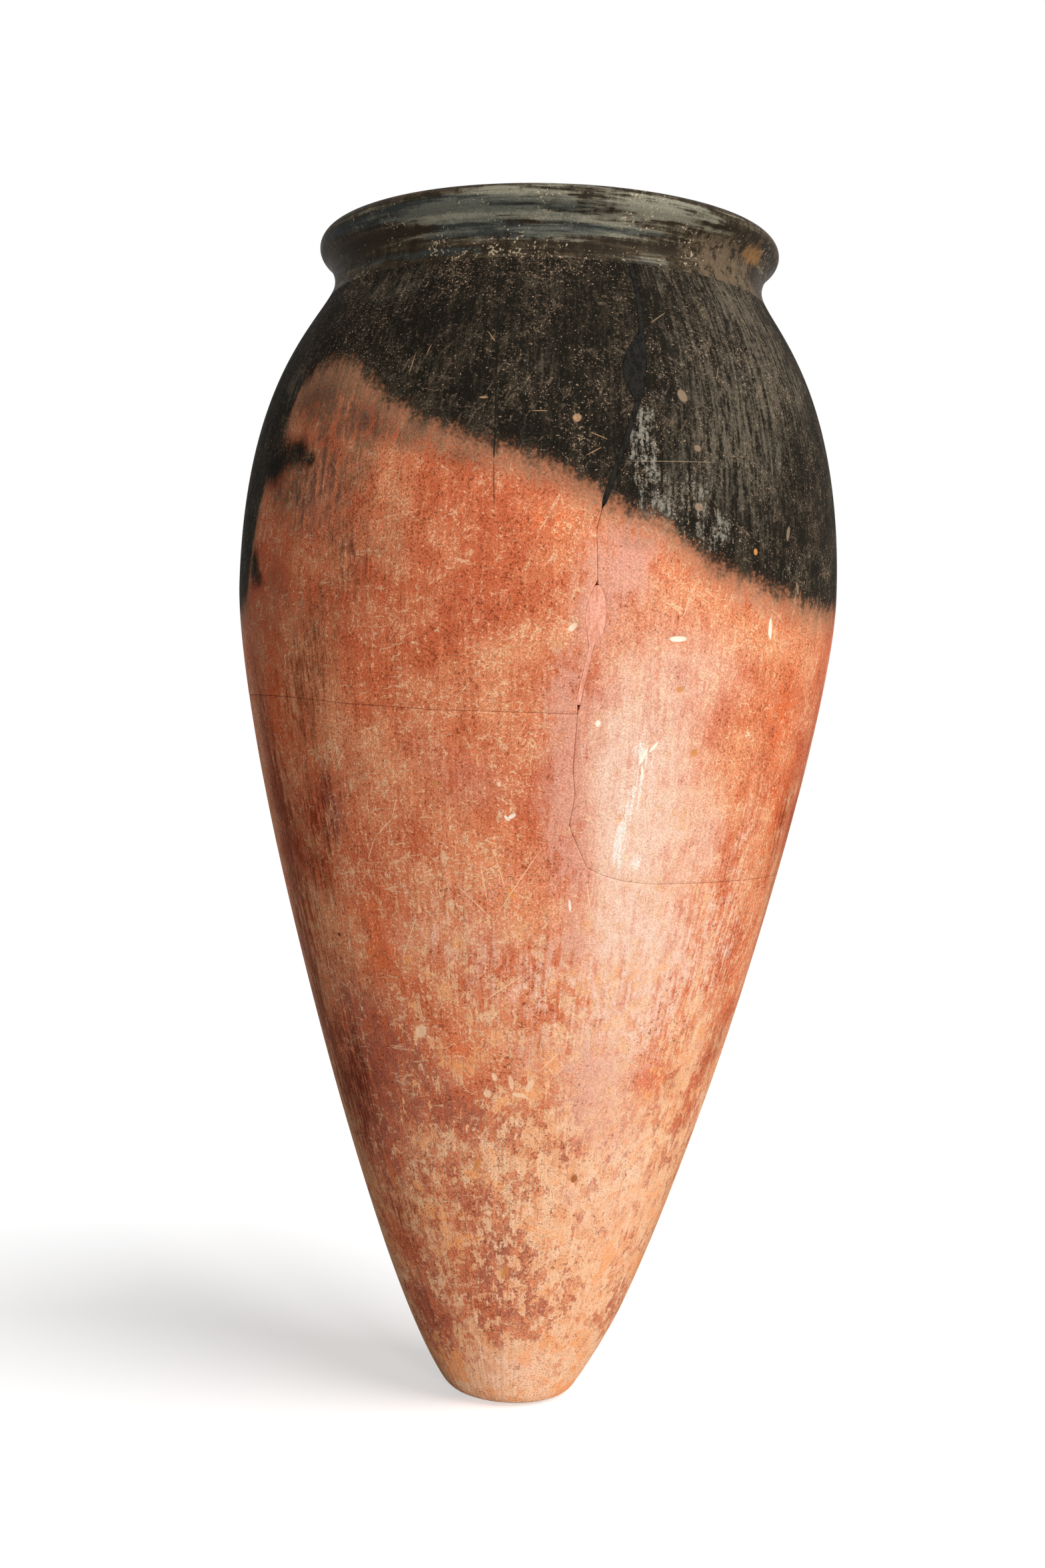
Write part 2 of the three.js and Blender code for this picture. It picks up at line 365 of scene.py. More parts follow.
@dataclass(frozen=True)
class HandWork:
    """The unevenness that building by hand and later knocks left in the clay.

    Attributes:
        lumps: Waves in the wall: depth, count round the jar, climb for each millimetre up, and phase.
        foot_pinch: How far the foot is pinched in on its right.
        pinch_top: Height at which the pinch starts.
        pinch_foot: Height at which it is full.
        flat_rise: Height over which it dies away again above the flat face.
        core: Radii between which moves grow from none to full.
        rim_tilt: How far the rim drops for each millimetre to the left.
        tilt_start: How far above the belly the tilt starts.
        tilt_end: How far under the top it is full.
        dents: Knocks and pits in the outer face.
    """

    lumps: tuple[tuple[float, int, float, float], ...] = (
        (0.30, 2, 0.011, 0.6),
        (0.25, 3, -0.023, 2.4),
        (0.12, 5, 0.041, 4.0),
        (0.06, 9, -0.075, 1.1),
    )
    foot_pinch: float = 0.9
    pinch_top: float = 34.0
    pinch_foot: float = 8.0
    flat_rise: float = 6.0
    core: Pair = (2.0, 14.0)
    rim_tilt: float = 0.010
    tilt_start: float = 30.0
    tilt_end: float = 12.0
    dents: tuple[Patch, ...] = patches(
        (25.0, 258.4, 3.4, 1.1, 0.5), (45.7, 264.0, 1.3, 3.6, 0.5), (6.1, 260.3, 2.2, 1.6, 0.6),
        (26.6, 243.3, 2.0, 1.6, 0.6), (31.5, 224.2, 2.0, 1.7, 0.6), (18.6, 85.8, 1.8, 1.9, 0.7),
        (-0.5, 116.0, 3.4, 3.4, 0.3), (-9.0, 114.3, 1.7, 1.7, 0.35), (49.7, 294.4, 1.2, 2.8, 0.4),
        (-46.4, 312.0, 2.6, 2.2, 0.3), (22.7, 190.4, 2.4, 1.6, 0.35),
    )

    def lump(self, angle: Points, height: Points) -> Points:
        """How far the clay lies inside its true round, as a move along the radius.

        Args:
            angle: Angles of the points.
            height: Heights of the points.

        Returns:
            Moves, none of them outwards.
        """
        turn = np.radians(angle)
        move = np.zeros_like(height)
        for depth, waves, climb, phase in self.lumps:
            move -= depth * (0.5 + 0.5 * np.sin(waves * turn + climb * height + phase))
        pinch = self.foot_pinch * np.clip(np.sin(turn), 0, 1)
        pinch = pinch * smooth(-height, -self.pinch_top, -self.pinch_foot)
        return move - pinch * smooth(height, 0.0, self.flat_rise)

    def dent(self, angle: Points, height: Points) -> Points:
        """How deep knocks and pits are at points of the outer face."""
        return -sum(patch.cover(angle, height) for patch in self.dents)

    def settle(self, points: Points, outer: Points) -> Points:
        """Moves a piece's points from their true round to where the potter left them.

        Args:
            points: Points in millimetres, one to a row.
            outer: Which of them lie on the outer face.

        Returns:
            The moved points.
        """
        reach = np.hypot(points[:, 0], points[:, 1])
        angle = np.degrees(np.arctan2(points[:, 0], -points[:, 1]))
        height = points[:, 2]
        move = self.lump(angle, height) + np.where(outer, self.dent(angle, height), 0.0)
        move *= smooth(reach, *self.core)
        scale = np.divide(reach + move, reach, out=np.ones_like(reach), where=reach > WELD)
        tilt = self.rim_tilt * (points[:, 0] - JAR.neck - JAR.lip_overhang)
        lift = tilt * smooth(height, JAR.belly_height + self.tilt_start, JAR.height - self.tilt_end)
        return np.column_stack([points[:, 0] * scale, points[:, 1] * scale, height + lift])


HANDS = HandWork()


@dataclass(frozen=True)
class BreakLines:
    """The old break, as points right of the axis and up, seen from the front.

    Attributes:
        gap: How far a broken edge stays off its break line.
        back_gap: How far it does so behind the jar, in degrees.
        spacing: Distance between points of a finished line.
        crack_points: Points along the foot of the main crack.
        main: The main crack, from the top down.
        left_height: Height at which the left break leaves the main crack.
        left: The left break, from the main crack outwards.
        right: The right break, from the foot of the main crack outwards.
        back: The crack behind the jar, from the top down.
        back_left: From the foot of that crack to the end of the left break.
        back_right: From the foot of that crack to the end of the right break.
    """

    gap: float = 0.05
    back_gap: float = 0.04
    spacing: float = 1.5
    crack_points: int = 40
    main: tuple[Pair, ...] = (
        (25.5, 378.5), (28.5, 362), (30, 343.5), (29, 331.5), (24.5, 315.5), (19, 298), (17, 290),
        (18, 271), (17.5, 259), (13.5, 239), (12.5, 218), (13.5, 210), (12, 200.5), (18, 188),
    )
    left_height: float = 234.5
    left: tuple[Pair, ...] = ((-31, 234.5), (-60, 236), (-79, 238), (-99, 239.5))
    right: tuple[Pair, ...] = ((22, 186), (29, 184), (39, 183), (61, 183.5), (86.5, 184.5))
    back: tuple[Pair, ...] = ((-17.5, 378.5), (-10.5, 333.5), (-16.5, 292), (-12.5, 247.5))
    back_left: tuple[Pair, ...] = ((-12.5, 247.5), (-52, 239), (-99, 239.5))
    back_right: tuple[Pair, ...] = ((-12.5, 247.5), (26, 228), (64, 197.5), (86.5, 184.5))

    def main_x(self, height: Points) -> Points:
        """How far to the right the main crack lies at a height."""
        across, up = np.array(self.main[::-1]).T
        return np.interp(height, up, across)

    @staticmethod
    def turn(across: Points, height: Points, side: Side) -> Points:
        """Angles round the jar of points seen from the front, in its front or its back half."""
        front = np.degrees(np.arcsin(np.clip(across / JAR.radius(height), -1, 1)))
        return front if side is Side.FRONT else 180.0 - front

    def path(self, line: Sequence[Pair], side: Side) -> Points:
        """A break line as angles and heights, closely spaced."""
        across, up = even(line, self.spacing).T
        return np.column_stack([self.turn(across, up, side), up])

    def back_turn(self, height: Points) -> Points:
        """The angle of the break behind the jar at a height, past 180 degrees."""
        across, up = np.array(self.back[::-1]).T
        return self.turn(np.interp(height, up, across), height, Side.BACK)

    @cached_property
    def left_foot(self) -> Points:
        """The lower edge of the left sherd, from the back to the main crack.

        Returns:
            Angles, from -180 up, and heights.
        """
        corner = (float(self.main_x(self.left_height)), self.left_height)
        behind = self.path(self.back_left, Side.BACK) - (360.0, 0.0)
        front = self.path((corner, *self.left), Side.FRONT)[::-1]
        return np.vstack([behind, front[1:]])

    @cached_property
    def right_foot(self) -> Points:
        """The lower edge of the right sherd, from the main crack round to the back.

        Returns:
            Angles and heights.
        """
        front = self.path((self.main[-1], *self.right), Side.FRONT)
        behind = self.path(self.back_right, Side.BACK)[::-1]
        return np.vstack([front, behind[1:]])

    @cached_property
    def crack_foot(self) -> Points:
        """The main crack between the two lower edges, from the upper one down."""
        heights = np.linspace(self.left_height, self.main[-1][1], self.crack_points)
        return np.column_stack([self.turn(self.main_x(heights), heights, Side.FRONT), heights])


BREAKS = BreakLines()


@dataclass(frozen=True)
class FillShape:
    """A mender's fill along the main crack: a strip with a patch that swells out of it.

    Attributes:
        top: Height of its upper end.
        foot: Height of its lower end.
        patch_height: Height of the patch's middle.
        patch_reach: How far the patch reaches up and down.
        strip: Half the strip's width.
        swell_left: How far the patch swells to the left.
        swell_right: How far it swells to the right.
        taper: Half the length over which an end closes.
    """

    top: float
    foot: float
    patch_height: float
    patch_reach: float
    strip: float
    swell_left: float
    swell_right: float
    taper: float = 0.6

    def reach(self, height: Points, swell: float) -> Points:
        """How far the fill reaches to one side of the crack.

        Args:
            height: Heights along the crack.
            swell: How far the patch swells to that side.

        Returns:
            The reach at each height.
        """
        off = (height - self.patch_height) / self.patch_reach
        over_foot = smooth(height, self.foot - self.taper, self.foot + self.taper)
        under_top = smooth(-height, -self.top - self.taper, -self.top + self.taper)
        return over_foot * under_top * (self.strip + swell * np.clip(1 - off * off, 0, 1))


BLACK_FILL = FillShape(
    top=JAR.wall_top + 2.0, foot=297.0, patch_height=341.0, patch_reach=11.0,
    strip=0.8, swell_left=5.4, swell_right=0.0,
)
PINK_FILL = FillShape(
    top=273.0, foot=237.0, patch_height=264.0, patch_reach=9.0,
    strip=0.7, swell_left=2.4, swell_right=2.4,
)


def draw(bm: bmesh.types.BMesh, section: Points, closed: bool) -> None:
    """Draws a half section as a chain of edges, vertex by vertex.

    Args:
        bm: The mesh to draw in.
        section: Radius and height of each vertex.
        closed: Whether the last vertex joins the first.
    """
    first = bmesh.ops.create_vert(bm, co=(section[0][0], 0, section[0][1]))["vert"][0]
    last = first
    for radius, height in section[1:]:
        last = bmesh.ops.extrude_vert_indiv(bm, verts=[last])["verts"][0]
        last.co = (radius, 0, height)
    if closed:
        bmesh.ops.contextual_create(bm, geom=[last, first])


def spin(bm: bmesh.types.BMesh, columns: int) -> None:
    """Spins what a mesh holds once round the jar's axis.

    Args:
        bm: The mesh.
        columns: Steps of the spin.
    """
    bmesh.ops.spin(
        bm, geom=bm.verts[:] + bm.edges[:], axis=(0, 0, 1), cent=(0, 0, 0),
        angle=2 * math.pi, steps=columns, use_merge=True,
    )


def turned(section: Points, columns: int, closed: bool) -> bmesh.types.BMesh:
    """Spins a half section round the jar's axis.

    Args:
        section: Radius and height of each point.
        columns: Steps of the spin.
        closed: Whether the section is a loop.

    Returns:
        The closed mesh, facing outwards.
    """
    bm = bmesh.new()
    draw(bm, section, closed)
    spin(bm, columns)
    bmesh.ops.remove_doubles(bm, verts=bm.verts, dist=WELD)
    bmesh.ops.recalc_face_normals(bm, faces=bm.faces)
    return bm


def reshape(bm: bmesh.types.BMesh, move: Callable[[Points], Points]) -> None:
    """Moves all vertices of a mesh.

    Args:
        bm: The mesh.
        move: Takes the vertices' places and returns their new ones.
    """
    places = move(np.array([vert.co for vert in bm.verts]))
    for vert, place in zip(bm.verts, places):
        vert.co = place


def on_wall(angle: Points, height: Points) -> Points:
    """Points of the outer face at angles and heights."""
    turn, reach = np.radians(angle), JAR.radius(height)
    return np.column_stack([reach * np.sin(turn), -reach * np.cos(turn), height])


def wall_stops(line: Points, count: int) -> Points:
    """Points evenly spaced over the wall along a line, without the line's last.

    Args:
        line: Angles and heights along the line.
        count: How many points.

    Returns:
        Angles and heights of the points.
    """
    along = lengths(np.column_stack([np.radians(line[:, 0]) * JAR.radius(line[:, 1]), line[:, 1]]))
    wanted = np.linspace(0, along[-1], count + 1)[:-1]
    return np.column_stack([np.interp(wanted, along, column) for column in line.T])


def is_outer(points: Points) -> Points:
    """Which points lie on the jar's outer face, before the clay is made uneven."""
    return np.hypot(points[:, 0], points[:, 1]) > JAR.radius(points[:, 2]) - OUTER_DEPTH


def outside_faces(bm: bmesh.types.BMesh) -> set[bmesh.types.BMFace]:
    """Finds the faces of a wall piece whose every corner is on the outer face.

    Args:
        bm: The piece.

    Returns:
        Those faces.
    """
    outer = is_outer(np.array([vert.co for vert in bm.verts]))
    bm.verts.index_update()
    return {face for face in bm.faces if all(outer[vert.index] for vert in face.verts)}


def thicken(bm: bmesh.types.BMesh, finer: int) -> None:
    """Gives a sheet of the outer face the wall's thickness and a finer outside.

    Args:
        bm: The sheet.
        finer: Cuts made in each edge of its outside.
    """
    bmesh.ops.remove_doubles(bm, verts=bm.verts, dist=WELD)
    bmesh.ops.recalc_face_normals(bm, faces=bm.faces)
    bm.faces.ensure_lookup_table()
    face = bm.faces[0]
    middle = face.calc_center_median()
    if face.normal.dot(Vector((middle.x, middle.y, 0))) < 0:
        bmesh.ops.reverse_faces(bm, faces=bm.faces)
    bmesh.ops.solidify(bm, geom=bm.faces[:], thickness=JAR.wall)
    if finer:
        edges = list({edge for shown in outside_faces(bm) for edge in shown.edges})
        bmesh.ops.subdivide_edges(bm, edges=edges, cuts=finer, use_grid_fill=True)


def ease_breaks(bm: bmesh.types.BMesh, offset: float, kept: Sequence[float]) -> None:
    """Rounds the outer edge along the breaks of a wall piece.

    Args:
        bm: The piece.
        offset: How far the rounding reaches.
        kept: Heights of level joints, which stay sharp.
    """
    outside = outside_faces(bm)
    edges = [
        edge for edge in bm.edges
        if sum(face in outside for face in edge.link_faces) == 1
        and not any(all(abs(vert.co.z - height) < LEVEL for vert in edge.verts) for height in kept)
    ]
    bmesh.ops.bevel(
        bm, geom=edges, offset=offset, segments=2, profile=0.5, affect="EDGES", material=-1,
        clamp_overlap=True,
    )


class Paint:
    """Maps of how smoke, wear and stains lie on the clay, kept as attributes of a mesh.

    Attributes:
        SOOT_EDGE: Angle and height of points along the edge of the smoked top.
        SOOT_SPAN: Height over which the soot map rises by 1 across that edge.
        SOOT_LIMIT: How far from 0 the soot map goes.
        WEAR_AT: Height and share of worn slip.
        STAIN_AT: Height and least share of stain.
        MAPS: Soft ovals of each map, among them painted shade, a painted sheen and painted glints on the
            wall, and a painted sheen and shade on the lip.
        WEAR: Soft ovals where more or less slip is worn.
    """

    SOOT_EDGE: tuple[Pair, ...] = (
        (-180, 292), (-160, 300), (-140, 286), (-120, 281), (-100, 268), (-85, 266), (-75, 268), (-69, 271),
        (-67, 278), (-65, 292), (-63, 303), (-60, 312), (-57, 324), (-55, 338), (-51, 343), (-46, 344),
        (-38, 341), (-32, 333), (-27, 326), (-21, 322), (-14, 317), (-6, 313), (-1, 310), (4, 307),
        (8, 303), (11, 299), (16, 295), (21, 293), (25, 288), (30, 282), (35, 280), (43, 276), (54, 273),
        (65, 272), (73, 273), (90, 278), (110, 288), (130, 281), (150, 297), (165, 288), (180, 292),
    )
    SOOT_SPAN = 20.0
    SOOT_LIMIT = 2.0
    WEAR_AT: tuple[Pair, ...] = (
        (0, 1.0), (18, 0.98), (28, 0.88), (45, 0.76), (60, 0.72), (80, 0.72), (96, 0.66), (108, 0.52),
        (122, 0.38), (150, 0.27), (185, 0.16), (230, 0.03), (300, -0.1),
    )
    STAIN_AT: tuple[Pair, ...] = ((0, 0.45), (60, 0.52), (100, 0.5), (130, 0.25), (160, 0.1), (200, 0.0))
    MAPS: dict[str, tuple[Patch, ...]] = {
        "haze": patches(
            (-47, 336, 24, 14, 1.0), (-46, 310, 14, 15, 0.5), (-32, 324, 14, 9, 0.8),
            (-22, 318, 12, 7, 0.7), (-12, 311, 12, 6, 0.6), (0, 306, 12, 5, 0.5), (-54, 304, 12, 9, 0.6),
            (-36, 290, 12, 16, 0.4), (-62, 255, 18, 26, 0.4), (-35, 308, 12, 10, 0.5),
            (-48, 296, 14, 14, 0.4), (-54, 274, 10, 12, 0.35), (-44, 262, 18, 18, 0.35),
            (16, 286, 10, 4, 0.4), (120, 277, 40, 10, 0.6), (175, 282, 50, 10, 0.7),
            (-140, 276, 40, 10, 0.6),
        ),
        # Painted shade darkening both edges and the left side of the wall, with dirt round the back
        "painted_shade_and_grime": patches(
            (-64, 196, 10, 34, 0.9), (-68, 230, 8, 30, 0.5), (-70, 140, 10, 40, 0.85),
            (-58, 160, 8, 24, 0.25), (-50, 238, 14, 22, 0.6), (-42, 254, 12, 16, 0.45),
            (-35, 280, 13, 20, 0.5), (-52, 184, 12, 16, 0.5), (-49, 204, 12, 18, 0.55),
            (-36, 214, 10, 10, 0.3), (-26, 286, 10, 16, 0.3), (-53, 116, 10, 26, 0.6),
            (-64, 104, 10, 24, 0.7), (-46, 66, 12, 16, 0.4), (-50, 34, 10, 10, 0.3),
            (66, 204, 8, 22, 0.65), (76, 200, 8, 60, 0.6), (66, 128, 8, 14, 0.5), (46, 116, 6, 8, 0.4),
            (74, 60, 8, 40, 0.4), (150, 120, 30, 40, 0.4), (-120, 130, 30, 40, 0.4),
        ),
        "smudge": patches(
            (-59, 314, 11, 10, 1.0), (-51, 315, 8, 5, 0.9), (-46, 312, 4, 3, 0.8), (-64, 280, 5, 8, 0.9),
            (-61, 276, 3, 3, 0.7), (-58, 328, 6, 10, 0.6),
        ),
        "stain": patches(
            (-36, 120, 22, 26, 0.75), (-14, 106, 16, 10, 0.7), (-51, 112, 14, 44, 0.9),
            (-45, 140, 12, 22, 0.25), (-43, 304, 14, 22, 0.7), (-10, 58, 17, 30, 0.75),
            (7, 40, 12, 9, 0.7), (-48, 31, 14, 18, 0.9), (-44, 203, 9, 16, 0.75), (-20, 185, 10, 12, 0.2),
            (-34, 276, 10, 14, 0.4), (64, 36, 10, 14, 0.6), (140, 130, 30, 30, 0.7),
            (-130, 170, 26, 26, 0.6), (100, 215, 18, 24, 0.5),
        ),
        # Painted sheen: paler slip standing for the lamps' broad highlight right of the middle and for more
        # light on the foot, and paler slip round the back
        "painted_sheen_and_pale_slip": patches(
            (22, 214, 24, 50, 0.7), (21, 192, 13, 28, 0.75), (15, 222, 11, 24, 0.5),
            (32, 250, 26, 14, 0.3), (26, 166, 20, 12, 0.6), (20, 120, 13, 22, 0.6),
            (30, 148, 18, 22, 0.5), (38, 196, 10, 16, 0.5), (-10, 164, 12, 10, 0.35),
            (-12, 212, 16, 12, 0.3), (14, 278, 9, 10, 0.6), (-22, 117, 10, 8, 0.3), (5, 212, 8, 14, 0.3),
            (-30, 164, 14, 12, 0.25), (36, 82, 22, 34, 0.5), (2, 15, 20, 12, 0.6),
            (-150, 205, 42, 42, 0.4), (-124, 180, 28, 32, 0.35), (168, 188, 36, 46, 0.4),
        ),
        # Pale upright streaks of slip, partly painted sheen below the highlight right of the middle
        "streaks": patches(
            (28, 156, 24, 24, 0.8), (46, 164, 16, 34, 0.6), (30, 134, 18, 16, 0.7), (2, 152, 30, 16, 0.6),
            (6, 128, 20, 16, 0.5), (53, 120, 7, 20, 0.6), (54, 164, 6, 12, 0.6), (-20, 168, 18, 18, 0.45),
            (-4, 184, 20, 14, 0.4), (52, 200, 12, 30, 0.4), (-12, 262, 24, 26, 0.35),
            (-150, 150, 40, 30, 0.6), (130, 150, 40, 30, 0.6),
        ),
        # Painted glints: white upright streaks where the lamps' highlight falls, right of the middle
        "painted_glint": patches(
            (18.6, 197, 3.0, 13, 1.0), (20.6, 214, 3.2, 9, 0.9), (21, 224, 4, 5, 0.9),
            (22.6, 190, 4, 3, 0.8), (10, 225, 2.5, 10, 0.6),
        ),
        "scuff": patches(
            (17.6, 321, 5, 8, 1.0), (17.4, 309, 7, 8, 1.0), (20, 298, 8, 6, 0.9), (23, 334, 7, 8, 0.6),
            (28, 305, 10, 12, 0.6), (10, 331, 4, 10, 0.3), (31, 290, 10, 7, 0.9), (50, 282, 12, 6, 0.6),
            (-30, 366, 9, 9, 0.4), (22, 352, 9, 9, 0.4), (110, 300, 16, 14, 0.6),
            (-120, 320, 20, 14, 0.5),
        ),
        "pink": patches(
            (7, 216, 8, 28, 0.8), (5, 240, 9, 14, 0.6), (10, 268, 9, 16, 0.8), (8, 190, 7, 12, 0.6),
            (14, 280, 9, 12, 0.9), (-18, 222, 14, 10, 0.3), (20, 118, 11, 18, 0.55), (17, 80, 5, 6, 0.5),
            (2, 130, 8, 8, 0.5), (32, 102, 14, 12, 0.4), (40, 272, 12, 4, 0.4), (18, 288, 8, 6, 0.7),
            (10, 163, 10, 10, 0.6), (140, 225, 20, 24, 0.6),
        ),
        "orange": patches(
            (54, 238, 14, 26, 0.6), (64, 205, 11, 26, 0.8), (1, 291, 12, 10, 0.5), (-8, 195, 14, 18, 0.4),
            (-3, 178, 12, 10, 0.45), (-14, 226, 12, 12, 0.4), (-60, 225, 14, 22, 0.6),
            (38, 118, 9, 8, 0.9), (60, 106, 8, 10, 0.6), (-16, 124, 12, 14, 0.6), (-4, 148, 16, 16, 0.4),
            (66, 150, 8, 30, 0.6), (-14, 252, 16, 10, 0.35), (-34, 162, 22, 24, 0.6),
            (-30, 240, 14, 24, 0.4), (-60, 245, 14, 24, 0.7), (-62, 160, 12, 20, 0.6),
            (-60, 62, 14, 26, 0.7), (-46, 18, 22, 14, 0.5), (-30, 76, 16, 16, 0.6),
            (-12, 86, 12, 12, 0.5), (-24, 58, 12, 14, 0.5), (115, 180, 26, 40, 0.6),
            (-105, 205, 22, 40, 0.6),
        ),
        "fade": patches(
            (47, 366, 16, 14, 0.95), (49, 346, 16, 18, 0.85), (40, 324, 20, 24, 0.8),
            (30, 347, 13, 18, 0.5), (61, 346, 10, 18, 0.7), (33, 316, 18, 14, 0.6),
            (-38, 369, 14, 8, 0.7), (22, 303, 10, 8, 0.7), (40, 300, 12, 14, 0.3), (-2, 340, 7, 8, 0.4),
            (-59, 341, 7, 8, 0.8), (26, 371, 10, 6, 0.5), (50, 383, 24, 9, 0.9), (120, 340, 40, 26, 0.7),
            (-130, 345, 40, 24, 0.6), (178, 318, 30, 18, 0.6),
        ),
        "fleck": patches(
            (0, 373, 26, 6, 1.0), (-17, 369, 14, 8, 0.8), (16, 374, 14, 5, 0.8), (-38, 362, 18, 10, 0.75),
            (17.5, 322, 4.5, 8, 1.0), (17.3, 309, 8, 8, 1.0), (20, 298, 9, 7, 0.9),
            (22.5, 335, 7, 7, 0.55), (2, 345, 15, 13, 0.45), (6, 333, 10, 10, 0.5),
            (-13, 341, 11, 10, 0.5), (8, 318, 8, 8, 0.6), (32, 290, 16, 10, 0.5), (45, 372, 20, 5, 0.5),
            (-60, 372, 16, 6, 0.5), (-44, 350, 24, 14, 0.5), (42, 312, 22, 26, 0.45),
            (40, 350, 20, 14, 0.4), (90, 374, 20, 6, 0.8), (140, 372, 26, 6, 0.8),
            (-170, 370, 26, 8, 0.9), (-110, 371, 24, 7, 0.8), (105, 310, 18, 14, 0.6),
            (-150, 330, 20, 16, 0.6),
        ),
        # Painted sheen: pale level bands on the lip and neck standing for the lamps' highlight, continued
        # round the back
        "sheen": patches(
            (-10, 390, 30, 4, 0.9), (5, 396, 46, 4, 0.7), (22, 394, 25, 3, 0.9), (-26, 389, 12, 4, 0.7),
            (40, 393, 14, 3, 0.6), (10, 386, 26, 4, 0.5), (120, 391, 40, 5, 0.7), (-120, 390, 50, 4, 0.7),
            (180, 394, 40, 4, 0.6),
        ),
        "ochre": patches(
            (63, 390, 9, 3.5, 1.0), (-62, 379, 7, 3, 0.5), (-150, 386, 12, 4, 0.8),
        ),
        # Painted shade under the lip roll
        "shade": patches(
            (-55, 387, 26, 2.4, 0.9), (14, 380, 12, 3, 0.6), (30, 383, 10, 2.5, 0.8),
        ),
    }
    WEAR: tuple[Patch, ...] = patches(
        (-36, 120, 24, 26, -0.36), (-14, 107, 14, 8, -0.28), (-51, 112, 14, 40, -0.36),
        (2, 99, 10, 8, 0.10), (-54, 70, 14, 34, -0.30), (-26, 86, 16, 14, -0.18),
        (-22, 38, 12, 16, -0.25), (-11, 76, 12, 12, -0.22), (-9, 56, 14, 22, -0.31),
        (11, 42, 6, 8, -0.25), (6, 37, 11, 8, -0.28), (-48, 31, 12, 14, -0.34), (-46, 50, 10, 20, -0.30),
        (32, 78, 24, 34, 0.01), (7, 67, 7, 14, 0.08), (34, 24, 22, 16, -0.24), (-26, 134, 6, 6, 0.25),
        (46, 128, 9, 28, 0.20), (25, 150, 14, 22, 0.20), (60, 108, 9, 12, -0.20), (38, 119, 9, 6, -0.25),
        (62, 36, 9, 14, -0.42), (-2, 150, 24, 14, 0.1), (22, 122, 10, 14, 0.12), (53, 118, 6, 14, 0.2),
        (-24, 117, 9, 8, 0.2), (-48, 18, 18, 12, -0.30), (10, 28, 8, 5, -0.20), (120, 80, 26, 30, 0.14),
        (170, 55, 18, 16, -0.30), (-140, 95, 26, 26, -0.30),
    )

    def apply(self, mesh: bpy.types.Mesh) -> None:
        """Writes every map onto a finished mesh, in metres.

        Args:
            mesh: The mesh that takes the attributes.
        """
        places = np.zeros(len(mesh.vertices) * 3)
        mesh.vertices.foreach_get("co", places)
        x, y, height = places.reshape(-1, 3).T / MM
        angle = np.degrees(np.arctan2(x, -y))
        lining = np.hypot(x, y) < JAR.radius(height) - LINING_DEPTH
        for name, values in self.values(angle, height).items():
            self.write(mesh, name, values)
        self.write(mesh, "lining", lining.astype(float))

    def values(self, angle: Points, height: Points) -> dict[str, Points]:
        """The maps' values at points.

        Args:
            angle: Angles of the points.
            height: Heights of the points.

        Returns:
            Values by the name of their map.
        """
        made = {
            name: 1 - reduce(lambda bare, patch: bare * (1 - patch.cover(angle, height)), ovals, 1.0)
            for name, ovals in self.MAPS.items()
        }
        turn, edge = np.array(self.SOOT_EDGE).T
        above = (height - np.interp(angle, turn, edge)) / self.SOOT_SPAN
        made["soot"] = np.clip(above, -self.SOOT_LIMIT, self.SOOT_LIMIT)
        made["wear"] = np.interp(height, *np.array(self.WEAR_AT).T)
        made["wear"] += sum(patch.cover(angle, height) for patch in self.WEAR)
        made["stain"] = np.maximum(made["stain"], np.interp(height, *np.array(self.STAIN_AT).T))
        return made

    @staticmethod
    def write(mesh: bpy.types.Mesh, name: str, values: Points) -> None:
        """Keeps one map as an attribute of the mesh's vertices."""
        attribute = mesh.attributes.new(name, "FLOAT", "POINT")
        attribute.data.foreach_set("value", values.astype(np.float32))


def finish_piece(bm: bmesh.types.BMesh, node: Node, material: bpy.types.Material) -> bpy.types.Object:
    """Makes a finished piece of a mesh in millimetres and lets it stand for its node.

    Args:
        bm: The mesh, which is freed.
        node: The node that the piece stands for.
        material: Its finish.

    Returns:
        The piece's object.
    """
    outer = is_outer(np.array([vert.co for vert in bm.verts]))
    reshape(bm, lambda places: HANDS.settle(places, outer))
    bmesh.ops.scale(bm, vec=(MM, MM, MM), verts=bm.verts)
    name, slot = node.value
    mesh = bpy.data.meshes.new(f"{name}_clay")
    bm.to_mesh(mesh)
    bm.free()
    mesh.shade_smooth()
    mesh.set_sharp_from_angle(angle=SHARP_ANGLE)
    Paint().apply(mesh)
    mesh.materials.append(material)
    piece = bpy.data.objects.new(f"{name}_clay", mesh)
    bpy.context.scene.collection.objects.link(piece)
    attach(piece, BODY)
    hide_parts(name)
    return piece


class Shade:
    """A shader socket on which sums can be written."""

    def __init__(self, sheet: "NodeSheet", socket: bpy.types.NodeSocket) -> None:
        """Keeps the socket and the sheet it belongs to."""
        self.sheet = sheet
        self.socket = socket

    def __add__(self, other: "Value") -> "Shade":
        """Sum."""
        return self.sheet.math("ADD", self, other)

    def __radd__(self, other: "Value") -> "Shade":
        """Sum with the socket second."""
        return self.sheet.math("ADD", other, self)

    def __sub__(self, other: "Value") -> "Shade":
        """Difference."""
        return self.sheet.math("SUBTRACT", self, other)

    def __rsub__(self, other: "Value") -> "Shade":
        """Difference with the socket second."""
        return self.sheet.math("SUBTRACT", other, self)

    def __mul__(self, other: "Value") -> "Shade":
        """Product."""
        return self.sheet.math("MULTIPLY", self, other)

    def __rmul__(self, other: "Value") -> "Shade":
        """Product with the socket second."""
        return self.sheet.math("MULTIPLY", other, self)

    def __or__(self, other: "Value") -> "Shade":
        """The larger of two masks."""
        return self.sheet.math("MAXIMUM", self, other)

    def __ror__(self, other: "Value") -> "Shade":
        """The larger of two masks, with the socket second."""
        return self.sheet.math("MAXIMUM", other, self)


Value = Union[Shade, float]
Tint = Union[Shade, Colour]
Sockets = dict[Union[int, str], Union[Shade, float, Sequence[float]]]


